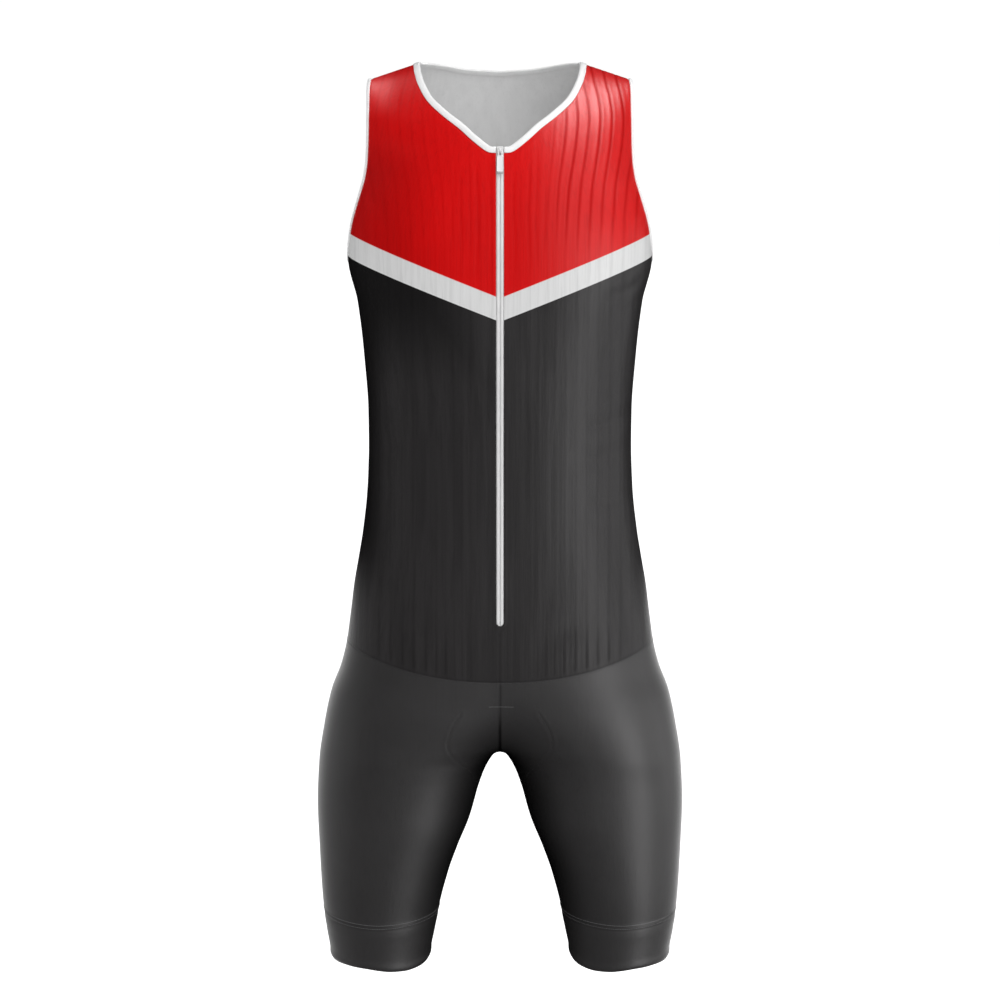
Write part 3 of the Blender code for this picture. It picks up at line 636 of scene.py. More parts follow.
# ------------------------------------------------------------------ small repeated pieces
def capsules(name, starts, ends, lift, radius, mat, arch=0.0, sides=6):
    """Many short rounded strands in one mesh, each from a start to an end and arched along lift."""
    starts, ends, lift = (np.asarray(a, float).reshape(-1, 3) for a in (starts, ends, lift))
    count = len(starts)
    along = ends - starts
    long = np.linalg.norm(along, axis=1, keepdims=True)
    t = along / np.maximum(long, 1e-9)
    lift = lift - t * np.sum(lift * t, 1, keepdims=True)
    lift /= np.maximum(np.linalg.norm(lift, axis=1, keepdims=True), 1e-9)
    side = np.cross(t, lift)
    stations = [(-0.6, 0.55), (0.0, 1.0), (0.5, 1.05), (1.0, 1.0), (1.6, 0.55)]
    rings = []
    for where, fat in stations:
        s = min(max(where, 0), 1)
        over = (where - s) * radius / 0.6 * 0.8
        mid = starts + along * s + t * over + lift * (arch * math.sin(math.pi * s) - (abs(where - s) > 0) * radius * 0.5)
        for k in range(sides):
            a = 2 * math.pi * k / sides
            rings.append(mid + (side * math.cos(a) + lift * math.sin(a)) * radius * fat)
    tips = [starts - t * radius * 1.2 - lift * radius * 0.8, ends + t * radius * 1.2 - lift * radius * 0.8]
    verts = np.stack(rings + tips, 1)
    per = verts.shape[1]
    faces = []
    for r in range(len(stations) - 1):
        for k in range(sides):
            m = (k + 1) % sides
            faces.append((r * sides + k, r * sides + m, (r + 1) * sides + m, (r + 1) * sides + k))
    first, last = len(stations) * sides, len(stations) * sides + 1
    tris = []
    for k in range(sides):
        m = (k + 1) % sides
        tris.append((m, k, first))
        e = (len(stations) - 1) * sides
        tris.append((e + k, e + m, last))
    base = (np.arange(count) * per)[:, None, None]
    quads = (np.array(faces)[None] + base).reshape(-1, 4).tolist()
    tri = (np.array(tris)[None] + base).reshape(-1, 3).tolist()
    mesh = bpy.data.meshes.new(name)
    mesh.from_pydata(verts.reshape(-1, 3).tolist(), [], quads + tri)
    mesh.shade_smooth()
    mesh.materials.append(mat)
    bm = bmesh.new()
    bm.from_mesh(mesh)
    bmesh.ops.recalc_face_normals(bm, faces=bm.faces)
    bm.to_mesh(mesh)
    bm.free()
    obj = bpy.data.objects.new(name, mesh)
    bpy.context.scene.collection.objects.link(obj)
    return obj


def stitch_ends(line, lift, pitch, long, closed=False):
    """Starts, ends and lifts of stitches laid along a line of points."""
    line, lift = np.asarray(line, float), np.asarray(lift, float)
    if closed:
        line, lift = np.concatenate([line, line[:1]]), np.concatenate([lift, lift[:1]])
    s = np.concatenate([[0], np.cumsum(np.linalg.norm(np.diff(line, axis=0), axis=1))])
    count = max(1, int(round(s[-1] / pitch)))
    at = (np.arange(count) + 0.5) * s[-1] / count

    def sample(values, t):
        return np.stack([np.interp(t, s, values[:, k]) for k in range(3)], 1)

    return sample(line, at - long / 2), sample(line, at + long / 2), sample(lift, at)


# ------------------------------------------------------------------ materials
class Tree:
    """Short names for building a material's nodes."""

    def __init__(self, name, rough, specular=0.35, sheen=0.0, sheen_rough=0.4, metal=0.0, coat=0.0, tint=(1, 1, 1)):
        self.mat = bpy.data.materials.new(name)
        self.mat.use_nodes = True
        self.nodes, self.links = self.mat.node_tree.nodes, self.mat.node_tree.links
        self.shader = self.nodes["Principled BSDF"]
        self.set("Roughness", rough)
        self.set("Specular IOR Level", specular)
        self.set("Sheen Weight", sheen)
        self.set("Sheen Roughness", sheen_rough)
        self.set("Sheen Tint", (*tint, 1))
        self.set("Metallic", metal)
        self.set("Coat Weight", coat)

    def set(self, socket, value):
        self.shader.inputs[socket].default_value = value

    def to(self, socket, out):
        self.links.new(out, self.shader.inputs[socket])

    def add(self, kind, **settings):
        node = self.nodes.new(kind)
        for key, value in settings.items():
            setattr(node, key, value)
        return node

    def put(self, socket, value):
        if isinstance(value, bpy.types.NodeSocket):
            self.links.new(value, socket)
        else:
            socket.default_value = value

    def math(self, operation, a, b=0.0, clamp=False):
        node = self.add("ShaderNodeMath", operation=operation, use_clamp=clamp)
        self.put(node.inputs[0], a)
        self.put(node.inputs[1], b)
        return node.outputs[0]

    def line(self, value, slope, offset):
        node = self.add("ShaderNodeMath", operation="MULTIPLY_ADD")
        self.put(node.inputs[0], value)
        node.inputs[1].default_value = slope
        node.inputs[2].default_value = offset
        return node.outputs[0]

    def step(self, value, low, high):
        node = self.add("ShaderNodeMapRange", interpolation_type="SMOOTHSTEP")
        self.put(node.inputs["Value"], value)
        node.inputs["From Min"].default_value = low
        node.inputs["From Max"].default_value = high
        return node.outputs[0]

    def mix(self, factor, a, b, blend="MIX"):
        node = self.add("ShaderNodeMix", data_type="RGBA", blend_type=blend)
        self.put(node.inputs[0], factor)
        self.put(node.inputs[6], a if isinstance(a, bpy.types.NodeSocket) else (*a, 1))
        self.put(node.inputs[7], b if isinstance(b, bpy.types.NodeSocket) else (*b, 1))
        return node.outputs[2]

    def place(self):
        """x, y, z of the surface in metres, and the vector itself."""
        coord = self.add("ShaderNodeTexCoord").outputs["Object"]
        parts = self.add("ShaderNodeSeparateXYZ")
        self.links.new(coord, parts.inputs[0])
        return coord, parts.outputs[0], parts.outputs[1], parts.outputs[2]

    def scaled(self, vector, scale):
        node = self.add("ShaderNodeMapping")
        self.links.new(vector, node.inputs["Vector"])
        node.inputs["Scale"].default_value = scale
        return node.outputs[0]

    def noise(self, vector, scale, detail=2.0, rough=0.5):
        node = self.add("ShaderNodeTexNoise")
        self.links.new(vector, node.inputs["Vector"])
        node.inputs["Scale"].default_value = scale
        node.inputs["Detail"].default_value = detail
        node.inputs["Roughness"].default_value = rough
        return node.outputs[0]

    def value(self, name):
        node = self.add("ShaderNodeAttribute", attribute_type="GEOMETRY", attribute_name=name)
        return node

    def relief(self, height, distance, strength=1.0, over=None):
        node = self.add("ShaderNodeBump")
        node.inputs["Strength"].default_value = strength
        node.inputs["Distance"].default_value = distance
        self.put(node.inputs["Height"], height)
        if over is not None:
            self.put(node.inputs["Normal"], over)
        return node.outputs[0]


def knit_height(t, coord_uv, wale, course):
    """Height of a plain knit: columns of small V loops, wale and course apart."""
    parts = t.add("ShaderNodeSeparateXYZ")
    t.links.new(coord_uv, parts.inputs[0])
    u = t.math("MULTIPLY", parts.outputs[0], math.pi / wale)
    column = t.math("ABSOLUTE", t.math("SINE", u))
    lean = t.math("MULTIPLY", column, 1.3)
    v = t.math("ADD", t.math("MULTIPLY", parts.outputs[1], 2 * math.pi / course), lean)
    return t.math("ADD", column, t.math("MULTIPLY", t.math("SINE", v), 0.35))


RED = (0.660, 0.0018, 0.0022)
WHITE = (0.72, 0.72, 0.72)
BLACK = (0.0255, 0.0239, 0.0246)
CHARCOAL = (0.0355, 0.0340, 0.0347)
LINING = (0.90, 0.90, 0.90)
CHEVRON_TOP, CHEVRON_TOP_RISE = -0.2311, 0.3968  # height at the middle, rise for each metre of |x|
CHEVRON_LOW, CHEVRON_LOW_RISE = -0.2549, 0.3923
BAND_TOP, BAND_LOW = -0.1690, -0.1935  # the white band across the back


def streaks(t, coord):
    """Fine uneven streaks along the cloth's length."""
    fine = t.noise(t.scaled(coord, (1.0, 1.0, 0.022)), 420.0, 3.0, 0.6)
    wide = t.noise(t.scaled(coord, (1.0, 1.0, 0.03)), 95.0, 2.0, 0.5)
    return fine, wide


def print_material(name, back):
    t = Tree(name, 0.40, specular=0.24, sheen=0.0, sheen_rough=0.30)
    coord, x, y, z = t.place()
    # Painted shade: under the arm at -X, where the cloth turns away from the light, the black is darkened in its
    # colour.
    lit = t.math("MAXIMUM", t.step(z, -0.225, -0.335), t.step(x, -0.085, 0.0))
    if back:
        top = t.math("SUBTRACT", z, BAND_TOP)
        low = t.math("SUBTRACT", z, BAND_LOW)
    else:
        side = t.math("ABSOLUTE", x)
        top = t.math("SUBTRACT", z, t.line(side, CHEVRON_TOP_RISE, CHEVRON_TOP))
        low = t.math("SUBTRACT", z, t.line(side, CHEVRON_LOW_RISE, CHEVRON_LOW))
    fine, wide = streaks(t, coord)
    cloud = t.noise(coord, 14.0, 3.0, 0.55)
    black = t.mix(t.step(wide, 0.35, 0.65), BLACK, tuple(c * 1.18 for c in BLACK))
    black = t.mix(lit, tuple(c * 0.45 for c in BLACK), black)
    # Painted shade: the black at the left edge above the hips is darkened to 40 %.
    edge = t.math("MULTIPLY", t.step(x, -0.108, -0.138), t.step(z, -0.560, -0.470))
    black = t.mix(edge, black, tuple(c * 0.40 for c in BLACK))
    white = t.mix(t.step(cloud, 0.3, 0.7), tuple(c * 0.96 for c in WHITE), WHITE)
    red = t.mix(t.step(cloud, 0.3, 0.7), tuple(c * 0.93 for c in RED), RED)
    # Painted highlight: on the tip of the left shoulder the red is mixed towards a lighter red.
    tip = t.math("MULTIPLY", t.step(z, -0.056, -0.026), t.step(x, -0.100, -0.128))
    red = t.mix(t.math("MULTIPLY", tip, 0.8), red, (0.90, 0.012, 0.014))
    # Painted shade: the red on the left of the chest is darkened to 75 %.
    red = t.mix(t.math("MULTIPLY", t.step(x, -0.045, -0.120), t.step(z, -0.055, -0.110)), red, tuple(c * 0.75 for c in RED))
    # The ink of the red bleeds a little into the white.
    white = t.mix(t.math("MULTIPLY", t.step(top, -0.0013, 0.0), 0.45), white, (0.80, 0.30, 0.28))
    colour = t.mix(t.step(low, -0.00025, 0.00025), black, white)
    colour = t.mix(t.step(top, -0.00025, 0.00025), colour, red)
    # Painted shade: the colour darkens in the rib grooves, in the pleats and along the seams, by the mesh's shade mask.
    painted_shade = t.value("painted_shade").outputs["Fac"]
    colour = t.mix(t.math("MULTIPLY", painted_shade, 0.34, True), colour, (0.0, 0.0, 0.0))
    colour = t.mix(t.math("MULTIPLY", t.step(fine, 0.45, 0.75), 0.10), colour, (0.0, 0.0, 0.0))
    # Ribs lie flatter in their grooves and shine less there.
    over = t.math("MULTIPLY", t.step(x, -0.055, 0.025), t.step(z, -0.215, -0.255))
    shine = t.math("MAXIMUM", t.math("MULTIPLY", t.step(x, 0.015, 0.075), 0.66), t.math("MULTIPLY", over, 0.50))
    shine = t.math("MINIMUM", shine, t.line(t.step(z, -0.215, -0.255), -0.16, 0.66))
    shine = t.math("ADD", shine, 0.36)
    shine = t.math("ADD", shine, t.math("MULTIPLY", tip, 1.3))
    t.to("Specular IOR Level", t.math("MULTIPLY", t.line(painted_shade, -0.22, 0.24), shine))
    # Where the cloth is stretched over the hips its fibres catch light at the edge.
    hips = t.math("MULTIPLY", t.step(z, -0.500, -0.600), t.step(t.math("ABSOLUTE", x), 0.085, 0.150))
    t.to("Sheen Weight", hips)
    t.to("Base Color", colour)
    rough = t.math("ADD", t.math("MULTIPLY", wide, 0.08), 0.36)
    t.to("Roughness", rough)
    cloth = t.value("cloth").outputs["Vector"]
    knit = knit_height(t, cloth, 0.00085, 0.0010)
    bumps = t.relief(knit, 0.00005, 0.35)
    bumps = t.relief(fine, 0.0006, 0.25, bumps)
    bumps = t.relief(wide, 0.0012, 0.20, bumps)
    t.to("Normal", bumps)
    return t.mat


def knit_material(name, colour, rough, sheen, specular):
    t = Tree(name, rough, specular=specular, sheen=sheen, sheen_rough=0.32)
    coord, x, y, z = t.place()
    cloth = t.value("cloth").outputs["Vector"]
    fine, wide = streaks(t, coord)
    cloud = t.noise(coord, 11.0, 3.0, 0.5)
    base = t.mix(t.step(cloud, 0.3, 0.7), tuple(c * 0.92 for c in colour), tuple(c * 1.06 for c in colour))
    base = t.mix(t.math("MULTIPLY", t.step(fine, 0.5, 0.8), 0.10), base, (0.0, 0.0, 0.0))
    # Painted shade: the colour darkens along the seams, on the inner side of the leg and at the crotch, by the mesh's
    # shade mask.
    painted_shade = t.value("painted_shade").outputs["Fac"]
    base = t.mix(t.math("MULTIPLY", painted_shade, 0.85, True), base, (0.0, 0.0, 0.0))
    t.to("Base Color", base)
    t.to("Roughness", t.math("ADD", t.math("MULTIPLY", cloud, 0.08), rough - 0.04))
    side = t.line(t.step(x, -0.030, 0.030), 0.25, 0.75)
    t.to("Specular IOR Level", t.math("MULTIPLY", t.line(painted_shade, -0.9 * specular, specular), side))
    # The outer thigh is stretched and catches light at its edge, the inner one doesn't.
    t.to("Sheen Weight", t.math("MULTIPLY", t.step(t.math("ABSOLUTE", x), 0.115, 0.160), sheen))
    knit = knit_height(t, cloth, 0.00080, 0.00095)
    bumps = t.relief(knit, 0.00005, 0.35)
    bumps = t.relief(fine, 0.0005, 0.15, bumps)
    t.to("Normal", bumps)
    return t.mat


def lining_material(name, colour):
    t = Tree(name, 0.75, specular=0.2, sheen=0.1)
    coord, x, y, z = t.place()
    cloth = t.value("cloth").outputs["Vector"]
    fine, wide = streaks(t, coord)
    base = t.mix(t.step(wide, 0.3, 0.7), tuple(c * 0.96 for c in colour), colour)
    base = t.mix(t.math("MULTIPLY", t.step(fine, 0.5, 0.8), 0.06), base, (0.0, 0.0, 0.0))
    t.to("Base Color", base)
    t.to("Normal", t.relief(knit_height(t, cloth, 0.00085, 0.0010), 0.00005, 0.4))
    return t.mat


def tape_material(name, colour, rough=0.6, pitch=0.0009):
    """Woven tape with a fine rib across it."""
    t = Tree(name, rough, specular=0.3, sheen=0.05)
    coord, x, y, z = t.place()
    cloud = t.noise(coord, 60.0, 2.0)
    base = t.mix(t.step(cloud, 0.3, 0.7), tuple(c * 0.95 for c in colour), colour)
    # Painted shade: the tape darkens towards dark grey at its seam edge and where two pieces meet, by the mesh's shade
    # mask.
    painted_shade = t.value("painted_shade").outputs["Fac"]
    base = t.mix(t.math("MULTIPLY", painted_shade, 0.55, True), base, (0.12, 0.12, 0.125))
    t.to("Base Color", base)
    cloth = t.add("ShaderNodeSeparateXYZ")
    t.links.new(t.value("cloth").outputs["Vector"], cloth.inputs[0])
    across_ = t.math("MULTIPLY", t.math("ABSOLUTE", cloth.outputs[0]), 2 * math.pi / (2.2 * pitch))
    rib = t.math("SINE", t.math("ADD", t.math("MULTIPLY", cloth.outputs[1], 2 * math.pi / pitch), across_))
    grain = t.noise(coord, 1500.0, 2.0)
    bumps = t.relief(rib, 0.00006, 0.5)
    t.to("Normal", t.relief(grain, 0.0001, 0.25, bumps))
    return t.mat


def hard_material(name, colour, rough, metal=0.0, coat=0.0, wear=(0.6, 0.6, 0.62)):
    t = Tree(name, rough, specular=0.5, metal=metal, coat=coat)
    coord, x, y, z = t.place()
    cloud = t.noise(coord, 240.0, 3.0)
    base = t.mix(t.step(cloud, 0.35, 0.8), colour, tuple(0.93 * c for c in colour))
    edge = t.add("ShaderNodeNewGeometry").outputs["Pointiness"]
    base = t.mix(t.math("MULTIPLY", t.step(edge, 0.52, 0.60), 0.25), base, wear)
    t.to("Base Color", base)
    t.to("Roughness", t.math("ADD", t.math("MULTIPLY", cloud, 0.12), rough - 0.06))
    t.to("Normal", t.relief(t.noise(coord, 2600.0, 2.0), 0.00004, 0.3))
    return t.mat


def thread_material(name, colour):
    t = Tree(name, 0.55, specular=0.35, sheen=0.1)
    coord, x, y, z = t.place()
    twist = t.noise(coord, 2600.0, 2.0)
    base = t.mix(t.step(twist, 0.35, 0.65), tuple(c * 0.8 for c in colour), colour)
    t.to("Base Color", base)
    t.to("Normal", t.relief(twist, 0.0001, 0.4))
    return t.mat


MATS = {
    "front": print_material("front_print_knit", False),
    "back": print_material("back_print_knit", True),
    "leg": knit_material("charcoal_knit", CHARCOAL, 0.46, 1.0, 0.45),
    "cuff": knit_material("cuff_knit", tuple(1.02 * c for c in CHARCOAL), 0.48, 0.9, 0.42),
    "lining": lining_material("inner_face", LINING),
    "dark_lining": lining_material("inner_face_dark", (0.030, 0.030, 0.031)),
    "binding": tape_material("white_binding", (0.90, 0.90, 0.90), 0.6, 0.0011),
    # Painted light: the armhole band is the same white tape as the neck band, painted lighter to make up for the light
    # it loses by facing the side.
    "arm_binding": tape_material("white_arm_binding_painted_lighter", (0.97, 0.97, 0.97), 0.6, 0.0011),
    "zip": tape_material("white_zip", (0.77, 0.77, 0.77), 0.55, 0.0012),
    "coil": hard_material("zip_coil", (0.70, 0.70, 0.70), 0.4),
    "slider": hard_material("white_lacquer", (0.74, 0.74, 0.74), 0.32, coat=0.3),
    "pull": hard_material("white_moulded", (0.82, 0.82, 0.83), 0.38),
    "tip": hard_material("grey_moulded", (0.36, 0.36, 0.365), 0.5),
    "thread_white": thread_material("thread_white", (0.92, 0.92, 0.92)),
    "thread_dark": thread_material("thread_dark", (0.030, 0.029, 0.030)),
    # Grey stitching, partly painted highlight: its light grey on the cuff seams also stands in for the seam's edge
    # highlight.
    "thread_grey": thread_material("thread_grey", (0.175, 0.175, 0.178)),
}


# ------------------------------------------------------------------ torso panels
RIB = 0.0118  # distance between two knitted ribs
RIB_START = 0.0074
RIB_BEND = curve(
    [  # z, how far the ribs of the shoulder stand to the side of their straight line
        (0.0030, -0.0098),
        (-0.0134, -0.0066),
        (-0.0340, -0.0018),
        (-0.0515, 0.0000),
        (-0.0750, -0.0018),
        (-0.0960, -0.0050),
        (-0.1195, -0.0090),
        (-0.1620, -0.0124),
        (-0.1880, -0.0135),
        (-0.2600, -0.0138),
    ],
    1,
)
RIB_UNEVEN = [0.8, 0.5, 0.7, 0.55, 0.75, 0.9, 1.0, 0.85, 1.0, 0.95, 1.0, 0.9, 0.85, 0.7, 0.6]


def rib_lines(x, z):
    """How close each point is to the furrow between two ribs, 1 in the furrow."""
    w = x - RIB_BEND(z) * smooth(x, 0.020, 0.070)
    k = np.round((w - RIB_START) / RIB)
    d = w - RIB_START - k * RIB
    uneven = np.array(RIB_UNEVEN)[np.clip(k, 0, len(RIB_UNEVEN) - 1).astype(int)]
    return bump(d, 0.00150) * uneven * (k >= 0), d


def rib_strength(x, z, side, back):
    """How deep the grooves are: deepest on the shoulder at +X, faint elsewhere."""
    high = smooth(z, -0.215, -0.125)
    if back:
        strong = 0.30 * high * smooth(x, 0.02, 0.05)
    elif side > 0:
        strong = 1.0 * high * smooth(x, 0.036, 0.066)
        strong = np.maximum(strong, 0.28 * smooth(z, -0.235, -0.17) * smooth(x, 0.012, 0.03))
    else:
        strong = 0.13 * high * smooth(x, 0.02, 0.05)
    low = 0.85 * smooth(-z, 0.545, 0.600) * smooth(x, 0.018, 0.04) * (1 - smooth(x, 0.118, 0.132))
    return np.maximum(np.maximum(strong, low), 0.18 if back else 0.24)


def surface_points(rows, back=False, side=1):
    """Points of the torso's outer face at a few (x, z)."""
    out = []
    for x, z in rows:
        p = form(*place(x, z, back))
        out.append((p[0], p[1] + (0.0015 if back else -0.0015), p[2]))
    return out


# Folds: points as (x, z), width, depth (metres, negative for a trough).
FRONT_FOLDS = {
    1: [
        ([(0.140, -0.190), (0.126, -0.198), (0.106, -0.204)], 0.0080, -0.0003),
        ([(0.147, -0.212), (0.128, -0.226), (0.104, -0.232)], 0.0060, -0.0006),
        ([(0.136, -0.128), (0.124, -0.150), (0.118, -0.176)], 0.0070, -0.0008),
        ([(0.135, -0.352), (0.112, -0.362), (0.084, -0.366)], 0.0080, -0.0007),
        ([(0.134, -0.392), (0.104, -0.398), (0.070, -0.396)], 0.0090, -0.0008),
        ([(0.137, -0.438), (0.112, -0.442), (0.090, -0.440)], 0.0070, -0.0006),
        ([(0.030, -0.590), (0.060, -0.578), (0.092, -0.560)], 0.0100, -0.0005),
    ],
    -1: [
        ([(0.141, -0.191), (0.124, -0.198), (0.102, -0.203)], 0.0080, -0.0003),
        ([(0.136, -0.120), (0.122, -0.146), (0.113, -0.178)], 0.0080, -0.0010),
        ([(0.132, -0.060), (0.100, -0.075), (0.070, -0.080)], 0.0110, -0.0007),
        ([(0.136, -0.338), (0.116, -0.348), (0.094, -0.350)], 0.0070, -0.0006),
        ([(0.135, -0.380), (0.102, -0.389), (0.066, -0.388)], 0.0100, -0.0009),
        ([(0.137, -0.426), (0.106, -0.433), (0.078, -0.430)], 0.0080, -0.0007),
        ([(0.034, -0.584), (0.070, -0.574), (0.104, -0.552)], 0.0110, -0.0005),
    ],
}
BACK_FOLDS = {
    1: [
        ([(0.150, -0.186), (0.124, -0.200), (0.092, -0.206)], 0.0060, -0.0010),
        ([(0.134, -0.112), (0.112, -0.140), (0.096, -0.172)], 0.0080, -0.0009),
        ([(0.134, -0.360), (0.096, -0.374), (0.052, -0.376)], 0.0090, -0.0012),
        ([(0.132, -0.398), (0.088, -0.410), (0.034, -0.408)], 0.0080, -0.0013),
        ([(0.136, -0.436), (0.102, -0.444), (0.066, -0.442)], 0.0080, -0.0010),
        ([(0.120, -0.330), (0.090, -0.338), (0.064, -0.336)], 0.0070, -0.0007),
    ],
    -1: [
        ([(0.151, -0.190), (0.128, -0.203), (0.100, -0.208)], 0.0060, -0.0009),
        ([(0.134, -0.120), (0.116, -0.148), (0.104, -0.176)], 0.0080, -0.0008),
        ([(0.135, -0.350), (0.104, -0.362), (0.066, -0.366)], 0.0080, -0.0010),
        ([(0.132, -0.388), (0.082, -0.400), (0.026, -0.398)], 0.0090, -0.0013),
        ([(0.135, -0.424), (0.094, -0.434), (0.048, -0.432)], 0.0080, -0.0011),
        ([(0.138, -0.462), (0.110, -0.468), (0.084, -0.466)], 0.0070, -0.0007),
    ],
}


# Narrow upright pleats beside the zip: x, depth, and the heights between which they show.
PLEATS = {
    1: [(0.0075, 0.5, -0.215, -0.100), (0.0140, 0.9, -0.222, -0.098), (0.0212, 0.6, -0.205, -0.090),
        (0.0290, 1.0, -0.220, -0.088), (0.0365, 0.7, -0.212, -0.080), (0.0450, 0.8, -0.200, -0.105),
        (0.0100, 0.5, -0.420, -0.270), (0.0270, 0.5, -0.470, -0.265), (0.0420, 0.4, -0.390, -0.255)],
    -1: [(0.0090, 0.8, -0.218, -0.096), (0.0155, 0.5, -0.190, -0.100), (0.0225, 1.0, -0.222, -0.092),
         (0.0300, 0.6, -0.214, -0.088), (0.0385, 0.9, -0.205, -0.094), (0.0470, 0.6, -0.196, -0.100),
         (0.0580, 0.4, -0.178, -0.098), (0.0130, 0.6, -0.500, -0.270), (0.0310, 0.6, -0.560, -0.262),
         (0.0480, 0.5, -0.480, -0.258)],
}


def pleats(x, z, side):
    out = np.zeros(x.shape)
    for at, deep, low, high in PLEATS[side]:
        bend = 0.0008 * np.sin(z * 60 + at * 900)
        out += deep * bump(x - at - bend, 0.0013) * smooth(z, low, low + 0.045) * (1 - smooth(z, high - 0.025, high))
    return np.clip(out, 0, 1)


def cloth_uv(pts):
    """Distances along and across the cloth, for the knit's own pattern."""
    du = np.linalg.norm(np.diff(pts, axis=1), axis=-1)
    dv = np.linalg.norm(np.diff(pts, axis=0), axis=-1)
    u = np.concatenate([np.zeros((pts.shape[0], 1)), np.cumsum(du, 1)], 1)
    v = np.concatenate([np.zeros((1, pts.shape[1])), np.cumsum(dv, 0)], 0)
    return np.stack([u, v, 0 * u], -1)


def seam_dip(d, deep=0.0007, wide=0.0013):
    return -deep * bump(d, wide)


def build_front(side):
    grid = panel_grid(False, NECK_COLS, SHOULDER_COLS, ARM_ROWS, SIDE_ROWS)
    pts = form(grid[..., 0], grid[..., 1])
    left, right, top, low = edge_distances(pts)
    x, z = pts[..., 0], pts[..., 2]
    lines, d = rib_lines(x, z)
    strength = rib_strength(x, z, side, False)
    away = smooth(np.minimum(np.minimum(left, right), np.minimum(top, low)), 0.001, 0.006)
    relief = -0.00062 * strength * lines * away + 0.00016 * np.sqrt(strength) * np.cos(2 * math.pi * d / RIB) * away
    folds = [(surface_points(rows), wide, depth) for rows, wide, depth in FRONT_FOLDS[side]]
    relief += creases(pts, folds) * away
    upright = pleats(x, z, side)
    relief += -0.00034 * upright * away
    relief += seam_dip(right) + seam_dip(low, 0.00015, 0.0008) + seam_dip(top, 0.0006, 0.0010)
    above_end = smooth(z, ZIP_END_Z - 0.004, ZIP_END_Z + 0.001)
    relief += seam_dip(left, 0.00012, 0.0008) * (1 - above_end) + above_end * 0.00025 * bump(left - 0.0016, 0.0012)
    # Painted shade for the colour: dark in the rib grooves and pleats and along the seams.
    painted_shade = 0.80 * strength * lines * away + 0.30 * bump(right, 0.0008) + 0.40 * bump(low, 0.0008)
    painted_shade += 0.55 * bump(left, 0.0007) * (1 - above_end) + 0.20 * upright * away
    name = "front_shell_right" if side > 0 else "front_shell_left"
    obj, outer, n = shell(
        name, pts, relief, [MATS["front"], MATS["lining"]], mirror=side < 0,
        attributes={"painted_shade": painted_shade, "cloth": cloth_uv(pts)},
    )
    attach(obj, BODY)
    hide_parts("front_right" if side > 0 else "front_left")
    return obj, outer, n


def build_back():
    grid = panel_grid(True, BACK_NECK_COLS, BACK_SHOULDER_COLS, BACK_ARM_ROWS, BACK_SIDE_ROWS)
    half = form(grid[..., 0], grid[..., 1])
    half[:, 0, 0] = 0.0
    n = normals(half)
    n[:, 0, 0] = 0.0
    left, right, top, low = edge_distances(half)
    x, z = half[..., 0], half[..., 2]
    lines, d = rib_lines(x, z)
    strength = rib_strength(x, z, 1, True)
    away = smooth(np.minimum(right, np.minimum(top, low)), 0.001, 0.006)
    sides = []
    for side in (1, -1):
        relief = -0.00055 * strength * lines * away + 0.00014 * np.sqrt(strength) * np.cos(2 * math.pi * d / RIB) * away
        folds = [(surface_points(rows, True), wide, depth) for rows, wide, depth in BACK_FOLDS[side]]
        relief += creases(half, folds) * away * smooth(x, 0.0, 0.010)
        relief += seam_dip(right) + seam_dip(low) + seam_dip(top, 0.0006, 0.0010)
        sides.append(relief)
    # Painted shade for the colour: dark in the rib grooves and along the seams.
    painted_shade = 0.7 * strength * lines * away + 0.30 * bump(right, 0.0008) + 0.45 * bump(low, 0.0007)
    uv = cloth_uv(half)
    mirror = np.array([-1.0, 1.0, 1.0])

    def both(a, b):
        return np.concatenate([b[:, :0:-1], a], 1)

    pts = both(half, half * mirror)
    relief = both(sides[0], sides[1])
    obj, outer, n = shell(
        "back_shell", pts, relief, [MATS["back"], MATS["lining"]],
        attributes={"painted_shade": both(painted_shade, painted_shade), "cloth": both(uv, uv * mirror)},
    )
    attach(obj, BODY)
    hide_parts("back")
    return obj, outer, n


# ------------------------------------------------------------------ legs and cuffs
WAIST_COLS, RISE_COLS, BACK_RISE_COLS, LEG_ROWS = 128, 44, 48, 156
